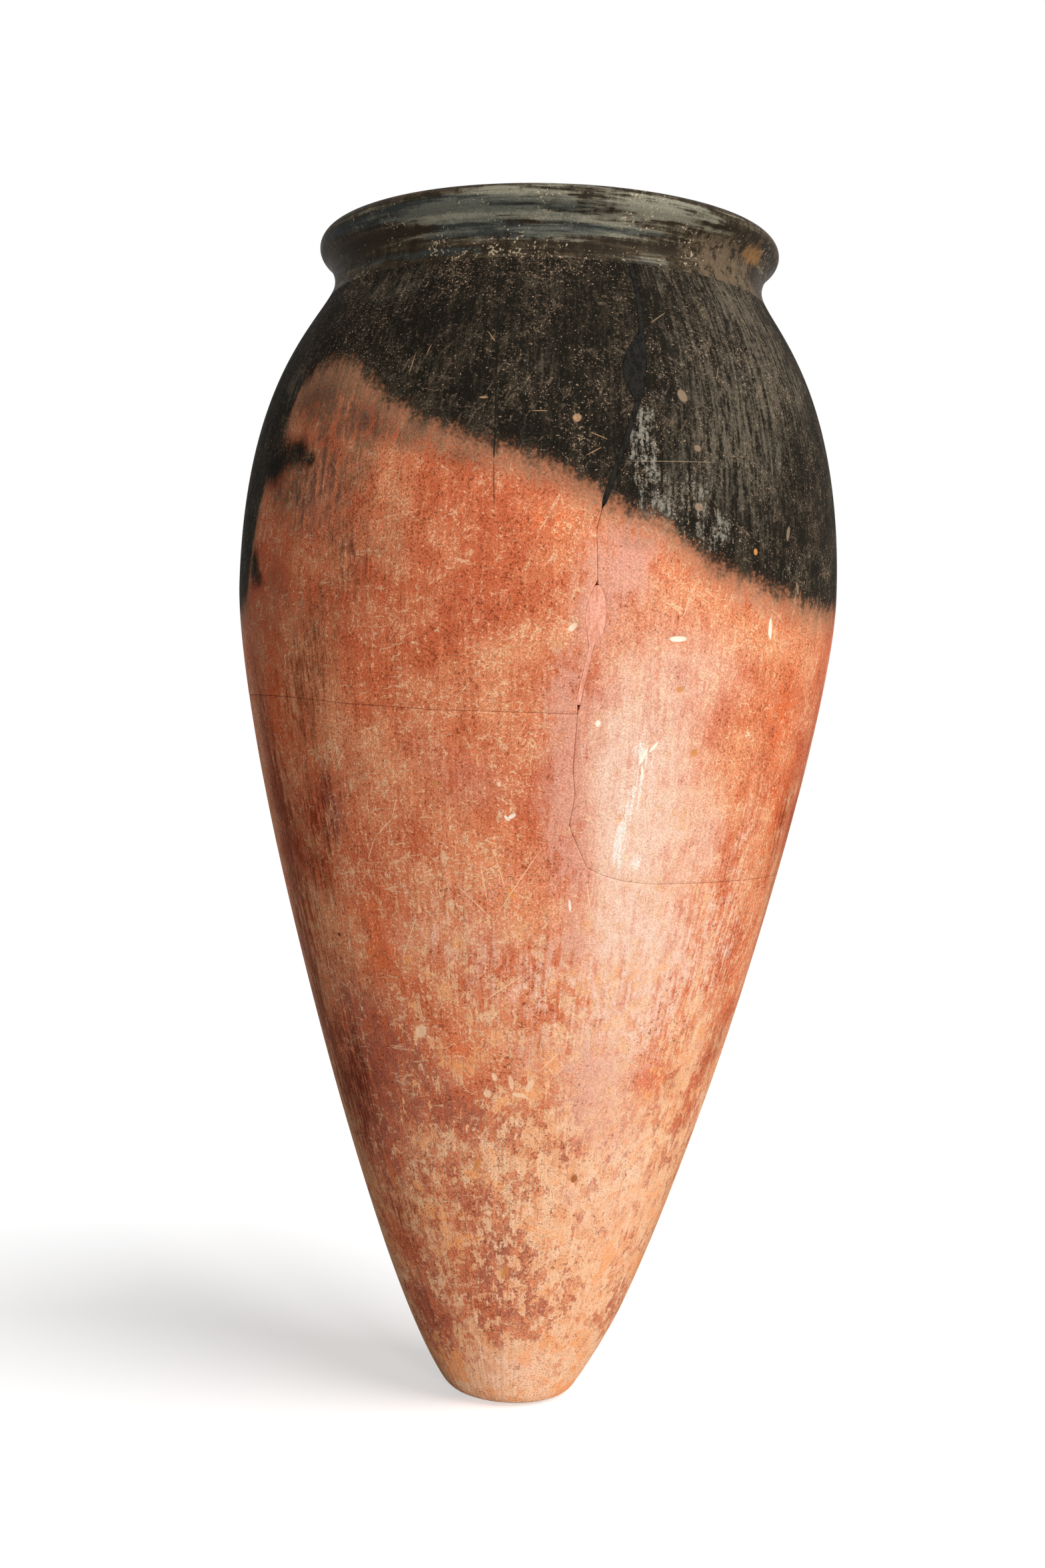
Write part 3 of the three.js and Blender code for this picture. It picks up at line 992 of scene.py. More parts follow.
class NodeSheet:
    """The nodes of a material or a world, filled by expressions.

    Attributes:
        NOISE_SPREAD: Spread of a single layer of noise.
        PATCH_LIFT: What is added to the noise that breaks up a painted map.
        MIX_INPUTS: A Mix node's sockets for the share and the two colours.
        MIX_RESULT: Its socket for the mixed colour.
    """

    NOISE_SPREAD = 0.13
    PATCH_LIFT = 1.2
    MIX_INPUTS = (0, 6, 7)
    MIX_RESULT = 2

    def __init__(self, owner: Union[bpy.types.Material, bpy.types.World]) -> None:
        """Empties the nodes of a material or a world.

        Args:
            owner: The material or world.
        """
        owner.use_nodes = True
        self.owner = owner
        self.tree = owner.node_tree
        self.tree.nodes.clear()

    def node(
        self, kind: str, settings: Optional[dict] = None, sockets: Optional[Sockets] = None
    ) -> bpy.types.Node:
        """Adds a node.

        Args:
            kind: The node's type.
            settings: Properties, set before any socket is fed.
            sockets: Values or links of its inputs, by name or number.

        Returns:
            The new node.
        """
        made = self.tree.nodes.new(kind)
        for name, setting in (settings or {}).items():
            setattr(made, name, setting)
        for key, value in (sockets or {}).items():
            if isinstance(value, Shade):
                self.tree.links.new(value.socket, made.inputs[key])
            else:
                made.inputs[key].default_value = value
        return made

    def shade(
        self, kind: str, settings: Optional[dict] = None, sockets: Optional[Sockets] = None,
        output: Union[int, str] = 0,
    ) -> Shade:
        """One output of a new node, by name or number."""
        return Shade(self, self.node(kind, settings, sockets).outputs[output])

    def math(self, operation: str, *values: Value) -> Shade:
        """A Math node on values and sockets."""
        return self.shade("ShaderNodeMath", {"operation": operation}, dict(enumerate(values)))

    def vector(self, operation: str, *values: Union[Shade, Sequence[float]]) -> Shade:
        """A Vector Math node; a length comes back as a value."""
        output = "Value" if operation == "LENGTH" else "Vector"
        return self.shade("ShaderNodeVectorMath", {"operation": operation}, dict(enumerate(values)), output)

    def place(self) -> Shade:
        """Where a point is on the jar, in metres."""
        return self.shade("ShaderNodeTexCoord", output="Object")

    def parts(self, vector: Shade) -> list[Shade]:
        """A vector's three parts."""
        made = self.node("ShaderNodeSeparateXYZ", sockets={0: vector})
        return [Shade(self, socket) for socket in made.outputs]

    def join(self, *values: Value) -> Shade:
        """Three values as a vector."""
        return self.shade("ShaderNodeCombineXYZ", sockets=dict(enumerate(values)))

    def mask(self, name: str) -> Shade:
        """A map painted on the mesh."""
        return self.shade("ShaderNodeAttribute", {"attribute_name": name}, output="Fac")

    def noise(self, at: Shade, scale: float, detail: float = 2.0, roughness: float = 0.5) -> Shade:
        """Cloudy noise, evened out so that its spread is about 1 whatever its detail.

        Args:
            at: Where it is read.
            scale: Waves to a metre.
            detail: Finer layers added.
            roughness: How strong those are.

        Returns:
            A value around 0, mostly less than 2 away from it.
        """
        layers = [roughness**i for i in range(int(detail) + 1)]
        spread = self.NOISE_SPREAD * math.hypot(*layers) / sum(layers)
        sockets = {"Vector": at, "Scale": scale, "Detail": detail, "Roughness": roughness}
        return (self.shade("ShaderNodeTexNoise", sockets=sockets) - 0.5) * (1 / spread)

    def step(self, value: Value, low: float, high: float) -> Shade:
        """A soft step.

        Args:
            value: What it follows.
            low: Where it is 0.
            high: Where it is 1, which may be the smaller one.

        Returns:
            The step.
        """
        sockets = {"Value": value, "From Min": low, "From Max": high}
        return self.shade("ShaderNodeMapRange", {"interpolation_type": "SMOOTHSTEP"}, sockets, "Result")

    def mix(self, share: Value, first: Tint, second: Tint, blend: Blend = Blend.COVER) -> Shade:
        """One colour over another, through the colour sockets of a Mix node.

        Args:
            share: How much of the second shows.
            first: The colour below.
            second: The colour above.
            blend: How it lies over the other.

        Returns:
            The mixed colour.
        """
        settings = {"data_type": "RGBA", "blend_type": blend.value}
        sockets = dict(zip(self.MIX_INPUTS, (share, first, second)))
        return self.shade("ShaderNodeMix", settings, sockets, self.MIX_RESULT)

    def patchy(self, name: str, noise: Value, low: float = 0.3, high: float = 1.1) -> Shade:
        """A painted map broken up by noise, which stays 0 where the map is 0."""
        return self.step(self.mask(name) * (noise + self.PATCH_LIFT), low, high)

    def turned(
        self, at: Shade, place: Sequence[float], turn: Sequence[float], size: Sequence[float]
    ) -> Shade:
        """Coordinates centred on a place, turned and measured in a size of their own."""
        sockets = {"Vector": at, "Location": place, "Rotation": turn, "Scale": size}
        return self.shade("ShaderNodeMapping", {"vector_type": "TEXTURE"}, sockets)

    def shaded(self, colour: Shade, roughness: Value, height: Shade, gloss: float) -> bpy.types.Material:
        """Ends a material's sheet with its shader.

        Args:
            colour: Base colour.
            roughness: Roughness.
            height: Relief, in millimetres.
            gloss: Specular level.

        Returns:
            The finished material.
        """
        bump = self.shade("ShaderNodeBump", sockets={"Strength": 1.0, "Distance": MM, "Height": height})
        sockets = {"Base Color": colour, "Roughness": roughness, "Specular IOR Level": gloss, "Normal": bump}
        shader = self.shade("ShaderNodeBsdfPrincipled", sockets=sockets)
        self.node("ShaderNodeOutputMaterial", sockets={"Surface": shader})
        return self.owner


# Radius, in millimetres, at which marks are laid out on the unrolled wall
WALL_MIDDLE = 95.0


@dataclass(frozen=True)
class Mark:
    """A small sharp-edged oval on the wall, such as chips, pits, scratches and painted glints.

    Attributes:
        angle: Where its middle is round the jar.
        height: How high its middle is.
        across: Half its width.
        up: Half its height.
        lean: How far its height leans to the left, in degrees.
        solid: Share of it that is full, inside its soft edge.
    """

    angle: float
    height: float
    across: float
    up: float
    lean: float = 0.0
    solid: float = 0.7

    @classmethod
    def scratch(cls, start: Pair, end: Pair, width: float) -> "Mark":
        """A straight scratch.

        Args:
            start: Angle and height of one end.
            end: Angle and height of the other.
            width: Half its width.

        Returns:
            The mark.
        """
        middle = ((start[0] + end[0]) / 2, (start[1] + end[1]) / 2)
        across = math.radians(end[0] - start[0]) * float(JAR.radius(middle[1]))
        up = end[1] - start[1]
        return cls(*middle, width, math.hypot(across, up) / 2, math.degrees(math.atan2(-across, up)))

    def cover(self, sheet: NodeSheet, wall: Shade) -> Shade:
        """The mark as a mask.

        Args:
            sheet: The sheet it is drawn on.
            wall: Distance round the jar and height, in millimetres.

        Returns:
            1 on the mark and 0 off it.
        """
        stretch = WALL_MIDDLE / float(JAR.radius(self.height))
        place = (math.radians(self.angle) * WALL_MIDDLE, self.height, 0.0)
        size = (self.across * stretch, self.up, 1.0)
        local = sheet.turned(wall, place, (0.0, 0.0, math.radians(self.lean)), size)
        return sheet.step(sheet.vector("LENGTH", local), 1.0, self.solid)


def scratches(*points: Pair, width: float = 0.18) -> tuple[Mark, ...]:
    """Scratches that run on from each angle and height to the next."""
    return tuple(Mark.scratch(start, end, width) for start, end in zip(points, points[1:]))


@dataclass(frozen=True)
class MarkSet:
    """Marks of one kind with their colour.

    Attributes:
        colour: What shows on them.
        strength: How much of it shows.
        marks: The marks.
    """

    colour: Colour
    strength: float
    marks: tuple[Mark, ...]

    def cover(self, sheet: NodeSheet, wall: Shade) -> Shade:
        """All marks as one mask.

        Args:
            sheet: The sheet they are drawn on.
            wall: Distance round the jar and height, in millimetres.

        Returns:
            1 on a mark and 0 off them.
        """
        shown = self.marks[0].cover(sheet, wall)
        for mark in self.marks[1:]:
            shown = shown | mark.cover(sheet, wall)
        return shown


@dataclass(frozen=True)
class Texture:
    """The noises that one finish is made of, each with a spread of about 1.

    Attributes:
        cloud: Slow change over 40 mm.
        blotch: Patches of 13 mm.
        mottle: Mottling of 3 mm with fine detail.
        speck: Specks of 1 mm.
        grain: Grain of half a millimetre.
        fibre: Upright streaks 1 mm wide.
        stroke: Upright burnishing strokes 6 mm wide.
        flake: Ragged islands of 4 mm.
        dot: Dots of half a millimetre.
        hair: Hairline scratches, as a mask.
        RING: Radius, in metres, at which upright streaks are drawn.
        UPRIGHT: Share of their height at which streaks are read, which draws them out.
        SQUAT: Share of each side at which mottling and islands are read.
        HAIR_TURNS: Directions of the hairline scratches, in radians.
        HAIR_LENGTH: How much longer than wide those are.
    """

    cloud: Shade
    blotch: Shade
    mottle: Shade
    speck: Shade
    grain: Shade
    fibre: Shade
    stroke: Shade
    flake: Shade
    dot: Shade
    hair: Shade

    RING = 0.09
    UPRIGHT = 0.09
    SQUAT = (1.0, 1.0, 0.6)
    HAIR_TURNS = ((0.0, 0.5, 0.2), (0.4, -1.1, 0.0), (0.9, 1.45, 0.3))
    HAIR_LENGTH = 7.0

    @classmethod
    def of(cls, s: NodeSheet, at: Shade) -> "Texture":
        """Lays the noises out on the clay.

        Args:
            s: The finish's sheet.
            at: Where they are read.

        Returns:
            The noises.
        """
        x, y, z = s.parts(at)
        way_x, way_y, _ = s.parts(s.vector("NORMALIZE", s.join(x, y, 0.0)))
        upright = s.join(way_x * cls.RING, way_y * cls.RING, z * cls.UPRIGHT)
        squat = s.vector("MULTIPLY", at, cls.SQUAT)
        blotch = s.noise(at, 75, 5, 0.6)
        return cls(
            cloud=s.noise(at, 24, 3),
            blotch=blotch,
            mottle=s.noise(squat, 320, 6, 0.72),
            speck=s.noise(at, 1000, 3, 0.65),
            grain=s.noise(at, 2000, 1),
            fibre=s.noise(upright, 800, 4, 0.66),
            stroke=s.noise(upright, 160, 2),
            flake=s.noise(squat, 280, 5, 0.7),
            dot=s.noise(at, 1700, 1),
            hair=cls.hairs(s, at, blotch),
        )

    @classmethod
    def hairs(cls, s: NodeSheet, at: Shade, blotch: Shade) -> Shade:
        """Hairline scratches in a few directions, gathered in patches.

        Args:
            s: The finish's sheet.
            at: Where they are read.
            blotch: Where they gather.

        Returns:
            1 on a scratch and 0 off it.
        """
        found = []
        for turn in cls.HAIR_TURNS:
            along = s.turned(at, (0.0, 0.0, 0.0), turn, (1.0, 1.0, cls.HAIR_LENGTH))
            wave = s.math("ABSOLUTE", s.noise(along, 300, 2))
            here = s.step(s.noise(along, 520, 1) + blotch * 0.5, 0.8, 1.1)
            found.append(s.step(wave, 0.24, 0.1) * here)
        return found[0] | found[1] | found[2]


@dataclass(frozen=True)
class SlipAndSmoke:
    """The body's finish: burnished red slip, smoked black above and worn to buff clay below, with painted
    shade, a painted sheen and painted glints.
    """

    buff: Colour = paint(251, 206, 168)
    buff_deep: Colour = paint(240, 170, 123)
    ochre: Colour = paint(246, 150, 78)
    slip: Colour = paint(242, 160, 115)
    slip_deep: Colour = paint(209, 107, 70)
    orange: Colour = paint(236, 112, 60)
    pink: Colour = paint(230, 164, 140)
    # Colour of the painted sheen and of the pale streaks
    painted_sheen_salmon: Colour = paint(250, 210, 187)
    brown: Colour = paint(100, 79, 64)
    tan: Colour = paint(174, 128, 98)
    stain: Colour = paint(174, 98, 78)
    pit: Colour = paint(120, 60, 36)
    cream: Colour = paint(250, 208, 166)
    black: Colour = paint(34, 31, 26)
    black_warm: Colour = paint(70, 62, 51)
    dust: Colour = paint(110, 101, 87)
    fleck: Colour = paint(204, 174, 145)
    scuff: Colour = paint(150, 146, 134)
    # Colour of the painted glints
    white: Colour = paint(252, 238, 226)
    lining: Colour = paint(74, 58, 47)
    # Colour by which painted shade and dirt darken the slip
    painted_shade_tint: Colour = (0.38, 0.22, 0.16, 1.0)
    shadow: Colour = (0.67, 0.62, 0.58, 1.0)
    gloss: float = 0.004

    def build(self, name: str, sets: Sequence[MarkSet] = ()) -> bpy.types.Material:
        """Makes the material.

        Args:
            name: The material's name.
            sets: Marks drawn over it.

        Returns:
            The material.
        """
        s = NodeSheet(bpy.data.materials.new(name))
        at = s.place()
        n = Texture.of(s, at)
        wear = s.mask("wear")
        ragged = n.flake * 0.95 + n.blotch * 0.3 + n.fibre * 0.35
        worn = s.step((wear - 0.5) * 5.0 + ragged, -0.14, 0.14)
        pits = s.step(n.speck + n.blotch * 0.4 + s.mask("painted_sheen_and_pale_slip") * 1.5, -1.7, -2.2)
        tone = s.mix(worn, self.red(s, n, wear), self.clay(s, n))
        pink = s.patchy("pink", n.mottle * 0.28 + n.fibre * 0.18, 0.1, 1.2)
        tone = s.mix(pink * 0.9, tone, self.pink)
        # Painted shade at the edges and on the left side, with dirt, darkens the slip
        painted_shade_and_grime = s.patchy("painted_shade_and_grime", n.mottle * 0.2 + n.fibre * 0.3, 0.1, 1.2)
        tone = s.mix(painted_shade_and_grime, tone, self.painted_shade_tint, Blend.DARKEN)
        haze = s.patchy("haze", n.mottle * 0.15 + n.fibre * 0.12 + n.speck * 0.12, 0.2, 1.2)
        tone = s.mix(haze * 0.92, tone, self.brown)
        tone = s.mix(pits * 0.55, tone, self.pit)
        # Painted glints of the highlight, in white
        painted_glint = s.patchy("painted_glint", n.fibre * 0.6 + n.mottle * 0.25, 0.7, 1.5)
        tone = s.mix(painted_glint * 0.9, tone, self.white)
        smoke = s.mask("soot") * 3.6 + n.mottle * 0.14 + n.speck * 0.18 + n.fibre * 0.06 + n.stroke * 0.08
        tone = s.mix(s.step(smoke, -2.2, -0.1) * 0.72, tone, self.tan)
        smudge = s.patchy("smudge", n.fibre * 0.1 + n.speck * 0.1, 0.2, 1.0)
        smoked = s.step(smoke, -0.8, 0.7) | smudge
        crowd = n.blotch * 0.3 + n.cloud * 0.25 + s.mask("fleck")
        flecks = s.step(n.speck + n.fibre * 0.2 + crowd, 3.1, 3.5) | s.step(n.dot + crowd * 0.5, 2.05, 2.35)
        tone = s.mix(smoked, tone, self.dark(s, n, flecks))
        tone = s.mix(s.step(n.grain, 1.6, -1.6) * (0.8 - wear * 0.4), tone, self.shadow, Blend.DARKEN)
        height = n.fibre * 0.012 + n.stroke * 0.05 + n.grain * 0.012 + n.mottle * 0.02
        height = height - worn * 0.06 - pits * 0.05 - flecks * smoked * 0.04 - n.hair * 0.03
        x, y, z = s.parts(at)
        wall = s.join(s.math("ARCTAN2", x, y * -1.0) * WALL_MIDDLE, z * (1 / MM), 0.0)
        for kind in sets:
            tone = s.mix(kind.cover(s, wall) * kind.strength, tone, kind.colour)
        inside = s.mask("lining")
        tone = s.mix(inside, tone, s.mix(s.step(n.mottle, -2.0, 2.0), self.black, self.lining))
        rough = 0.46 + worn * 0.22 + smoked * 0.1 - s.mask("painted_sheen_and_pale_slip") * 0.08 + n.fibre * 0.03 + inside * 0.3
        return s.shaded(tone, rough, height, self.gloss)

    def red(self, s: NodeSheet, n: Texture, wear: Shade) -> Shade:
        """The red slip with its blooms, stains and chafed specks.

        Args:
            s: The finish's sheet.
            n: Its noises.
            wear: The map of worn slip.

        Returns:
            The slip's colour.
        """
        fine = n.mottle * 0.3 + n.fibre * 0.3
        drift = fine * 0.8 + n.blotch * 0.36 + n.cloud * 0.5 + n.speck * 0.18 + wear * 1.8
        tone = s.mix(s.step(drift, -1.6, 1.9), self.slip_deep, self.slip)
        tone = s.mix(s.patchy("orange", fine) * 0.8, tone, self.orange)
        chafed = s.step(n.speck + n.blotch * 0.3 + n.fibre * 0.4 + wear, 1.8, 2.2)
        chafed = chafed | s.step(n.dot + wear * 1.6, 1.95, 2.25)
        tone = s.mix(chafed * 0.55, tone, self.cream)
        pitted = s.step(n.dot + n.cloud * 0.4 + s.mask("stain") * 0.5, 1.6, 2.1)
        tone = s.mix(pitted * 0.55, tone, self.pit)
        # Pale streaks in the painted sheen's colour, partly standing for the highlight
        streaks = s.patchy("streaks", n.fibre * 0.28 + n.mottle * 0.35, 0.4, 1.6)
        tone = s.mix(streaks * 0.85, tone, self.painted_sheen_salmon)
        # Painted sheen: paler slip standing for the broad highlight
        painted_sheen_and_pale_slip = s.patchy("painted_sheen_and_pale_slip", n.mottle * 0.1 + n.fibre * 0.08 + n.blotch * 0.05, 0.1, 1.2)
        tone = s.mix(painted_sheen_and_pale_slip, tone, self.painted_sheen_salmon)
        tone = s.mix(s.patchy("stain", fine) * 0.85, tone, self.stain)
        return s.mix(n.hair * 0.55, tone, self.cream)

    def clay(self, s: NodeSheet, n: Texture) -> Shade:
        """The buff clay under the slip, tinted with ochre here and there.

        Args:
            s: The finish's sheet.
            n: Its noises.

        Returns:
            The clay's colour.
        """
        drift = n.mottle * 0.4 + n.blotch * 0.4 + n.cloud * 0.3 + n.fibre * 0.2
        tone = s.mix(s.step(drift, -1.6, 1.2), self.buff_deep, self.buff)
        tone = s.mix(s.step(n.blotch + n.mottle * 0.4, 0.5, 2.0) * 0.6, tone, self.ochre)
        # Painted sheen on the worn buff clay, standing for more light low on the jar
        tone = s.mix(s.patchy("painted_sheen_and_pale_slip", n.mottle * 0.2, 0.2, 1.4) * 0.7, tone, self.painted_sheen_salmon)
        tone = s.mix(s.patchy("orange", n.mottle * 0.3) * 0.7, tone, self.ochre)
        return s.mix(s.step(n.dot + n.cloud * 0.3, 1.5, 1.9) * 0.5, tone, self.pit)

    def dark(self, s: NodeSheet, n: Texture, flecks: Shade) -> Shade:
        """The smoked top with dust, flecks and scratches.

        Args:
            s: The finish's sheet.
            n: Its noises.
            flecks: Where small flakes have come off.

        Returns:
            The smoked colour.
        """
        fine = n.mottle * 0.4 + n.blotch * 0.35 + n.fibre * 0.45 + n.speck * 0.4
        tone = s.mix(s.step(fine, -0.8, 2.6), self.black, self.black_warm)
        dusty = s.patchy("fade", n.mottle * 0.25 + n.speck * 0.2 + n.fibre * 0.4, 0.1, 1.8)
        tone = s.mix(dusty * 0.8, tone, self.dust)
        tone = s.mix(flecks * 0.65, tone, self.fleck)
        scuffed = s.patchy("scuff", n.mottle * 0.45 + n.speck * 0.3 + n.fibre * 0.35, 0.7, 1.9)
        tone = s.mix(scuffed * 0.8, tone, self.scuff)
        return s.mix(n.hair * 0.12, tone, self.fleck)


@dataclass(frozen=True)
class SmokedNeck:
    """The neck's and lip's finish: smoked black, burnished in level strokes, with a painted sheen and
    painted shade under the lip.
    """

    black: Colour = paint(48, 41, 32)
    brown: Colour = paint(84, 71, 55)
    olive: Colour = paint(142, 138, 120)
    blue: Colour = paint(62, 70, 70)
    dust: Colour = paint(114, 97, 77)
    ochre: Colour = paint(146, 108, 70)
    fleck: Colour = paint(214, 190, 160)
    shadow: Colour = (0.8, 0.78, 0.76, 1.0)
    level: tuple[float, float, float] = (0.07, 0.07, 1.0)
    roughness: float = 0.46
    gloss: float = 0.015

    def build(self, name: str) -> bpy.types.Material:
        """Makes the material.

        Args:
            name: The material's name.

        Returns:
            The material.
        """
        s = NodeSheet(bpy.data.materials.new(name))
        at = s.place()
        n = Texture.of(s, at)
        level = s.vector("MULTIPLY", at, self.level)
        streak = s.noise(level, 520, 4, 0.62)
        broad = s.noise(level, 160, 3)
        tone = s.mix(s.step(streak * 0.6 + n.mottle * 0.5, -1.0, 1.8), self.black, self.brown)
        # Painted sheen: pale olive and cool blue bands standing for the lip's highlight
        pale = s.mask("sheen") * 2.0 + streak * 0.5 + broad * 0.3 + n.mottle * 0.12
        tone = s.mix(s.step(pale, 0.7, 2.1), tone, self.olive)
        cool = s.step(broad + s.mask("sheen") * 1.2 + n.mottle * 0.2, 1.0, 2.0)
        tone = s.mix(cool * 0.6, tone, self.blue)
        tone = s.mix(s.patchy("fade", n.mottle * 0.3 + n.speck * 0.2) * 0.8, tone, self.dust)
        tone = s.mix(s.patchy("ochre", n.mottle * 0.25), tone, self.ochre)
        # Painted shade under the lip roll, in black
        tone = s.mix(s.patchy("shade", n.mottle * 0.3 + streak * 0.2) * 0.85, tone, self.black)
        flecks = s.step(n.speck + n.blotch * 0.6 + s.mask("fleck") * 1.3, 2.3, 3.0)
        tone = s.mix(flecks * 0.7, tone, self.fleck)
        tone = s.mix(s.step(n.grain, 1.2, -1.2), tone, self.shadow, Blend.DARKEN)
        height = streak * 0.03 + broad * 0.05 + n.grain * 0.012 - flecks * 0.05
        return s.shaded(tone, self.roughness + streak * 0.04, height, self.gloss)


@dataclass(frozen=True)
class Filler:
    """A mender's toned filler, brushed along the crack."""

    light: Colour
    deep: Colour
    roughness: float
    brushing: tuple[float, float, float] = (1.0, 1.0, 0.1)
    gloss: float = 0.08

    def build(self, name: str) -> bpy.types.Material:
        """Makes the material.

        Args:
            name: The material's name.

        Returns:
            The material.
        """
        s = NodeSheet(bpy.data.materials.new(name))
        at = s.place()
        brushed = s.noise(s.vector("MULTIPLY", at, self.brushing), 900, 3)
        grain = s.noise(at, 1300, 3, 0.6)
        tone = s.mix(s.step(brushed * 0.6 + grain * 0.5, -1.2, 1.2), self.deep, self.light)
        return s.shaded(tone, self.roughness, brushed * 0.02 + grain * 0.015, self.gloss)


BLACK_FILLER = Filler(light=paint(34, 31, 27), deep=paint(10, 9, 7), roughness=0.75)
PINK_FILLER = Filler(light=paint(236, 172, 148), deep=paint(214, 140, 112), roughness=0.6)

LOWER_MARKS = (
    # Pale chips, and upright strokes near 20 degrees that are painted glints of the highlight
    MarkSet(paint(250, 236, 220), 0.85, (
        Mark(22.7, 190.4, 2.4, 1.0, 64), Mark(18.0, 196.5, 0.8, 5.0), Mark(19.6, 202.0, 0.5, 3.6),
        Mark(19.3, 209.0, 0.5, 4.0, 4), Mark(21.4, 212.0, 0.6, 3.4, -10), Mark(-3.5, 203.0, 1.6, 0.7, 30),
        Mark(-4.4, 202.4, 0.5, 1.4, 50), Mark(9.0, 176.0, 0.5, 2.2, 10),
    )),
    MarkSet(paint(248, 208, 170), 0.75, (
        Mark(-20.7, 245.8, 2.8, 1.2, -20), Mark(-10.3, 243.0, 1.4, 0.7), Mark(-6.0, 212.7, 0.8, 0.9),
        Mark(-2.6, 118.4, 0.9, 3.0, 14), Mark(-0.4, 114.3, 2.6, 0.9, -6), Mark(2.4, 117.6, 1.1, 3.0, -34),
        Mark(-9.0, 114.3, 1.5, 1.5), Mark(-26.4, 133.2, 2.6, 2.2, 30), Mark(-7.0, 120.0, 0.9, 1.8, 40),
        *scratches((-35.7, 187.0), (-32.6, 195.0), (-28.2, 200.7), (-26.5, 208.4)),
        *scratches((-41.3, 214.8), (-37.9, 222.0)), *scratches((-10.0, 189.8), (-8.0, 174.8)),
        *scratches((-7.0, 192.0), (-4.2, 179.2)), *scratches((3.5, 194.7), (-6.9, 171.9)),
        *scratches((-30.1, 155.3), (-23.8, 171.0)), *scratches((3.3, 121.8), (10.7, 129.2)),
        *scratches((-11.3, 144.0), (1.5, 154.2)), *scratches((-16.0, 182.0), (-6.0, 170.0)),
        *scratches((12.0, 184.0), (13.6, 174.0)),
    )),
    MarkSet(paint(206, 138, 76), 0.85, (
        Mark(31.5, 224.2, 1.6, 1.4, 30), Mark(22.5, 231.0, 1.0, 0.8), Mark(-18.2, 212.0, 0.9, 0.9),
        Mark(-4.0, 52.4, 0.8, 3.6, -52), Mark(-8.4, 45.0, 1.2, 1.6, 20), Mark(-13.0, 90.0, 0.7, 4.0, -40),
    )),
    MarkSet(paint(150, 84, 36), 0.8, (Mark(18.6, 85.8, 1.3, 1.6), Mark(26.6, 243.3, 1.6, 1.1, 20))),
    MarkSet(paint(34, 24, 18), 0.9, (Mark(-48.5, 162.0, 0.7, 0.8),)),
)
LEFT_MARKS = (
    MarkSet(paint(206, 160, 118), 0.55, (
        *scratches((-17.2, 249.7), (6.5, 257.2)),
        *scratches((-27.1, 290.8), (-25.4, 301.9), (-24.8, 307.6)),
        *scratches((-40.2, 311.6), (-37.2, 304.7)), *scratches((-22.9, 342.3), (-22.1, 346.6)),
        *scratches((-25.7, 336.3), (-25.1, 344.5)), *scratches((-11.4, 350.3), (-9.4, 346.1)),
        *scratches((-11.6, 328.6), (-9.8, 328.6), width=0.4), *scratches((-2.3, 324.6), (0.9, 324.8)),
        *scratches((7.9, 319.0), (11.1, 316.9)), *scratches((7.3, 311.4), (10.2, 314.6)),
        Mark(5.8, 323.0, 1.6, 1.4, 40),
    )),
    MarkSet(paint(250, 222, 190), 0.85, (Mark(6.1, 260.3, 2.0, 1.0, 50),)),
    MarkSet(paint(30, 28, 24), 0.9, (
        *scratches((-9.9, 362.8), (-9.3, 347.8), width=0.3),
        *scratches((-9.3, 347.8), (-8.7, 333.8), (-8.2, 319.0), (-8.2, 309.0), width=0.35),
    )),
    MarkSet(paint(112, 66, 44), 0.8, scratches((-8.2, 310.0), (-7.7, 294.0), width=0.3)),
)
RIGHT_MARKS = (
    # Pale chips, and upright strokes near 21 degrees that are painted glints of the highlight
    MarkSet(paint(252, 236, 214), 0.9, (
        Mark(25.0, 258.4, 3.4, 1.0, 4), Mark(45.7, 264.0, 1.0, 3.8, 8), Mark(20.8, 222.6, 0.7, 3.0, -24),
        Mark(22.6, 225.5, 0.6, 2.4, -40), Mark(11.6, 232.0, 0.9, 1.2), Mark(21.0, 217.5, 0.5, 2.6, 12),
    )),
    MarkSet(paint(206, 138, 76), 0.85, (
        Mark(26.6, 243.3, 1.6, 1.1, 20), Mark(31.5, 224.2, 1.6, 1.4, 30), Mark(40.4, 287.0, 1.0, 1.2),
    )),
    MarkSet(paint(152, 128, 104), 0.7, (
        Mark(49.7, 294.4, 1.0, 2.8, -14), Mark(25.7, 332.7, 1.8, 2.4, 30), Mark(28.0, 316.7, 1.4, 1.2),
        Mark(27.9, 298.6, 1.8, 1.4), *scratches((20.6, 355.4), (25.5, 360.2)),
        *scratches((35.1, 344.5), (33.9, 339.2)), *scratches((13.9, 310.4), (32.7, 313.3), width=0.16),
        *scratches((31.0, 299.4), (31.5, 295.4)), Mark(52.9, 277.7, 0.8, 2.4, 20),
    )),
)


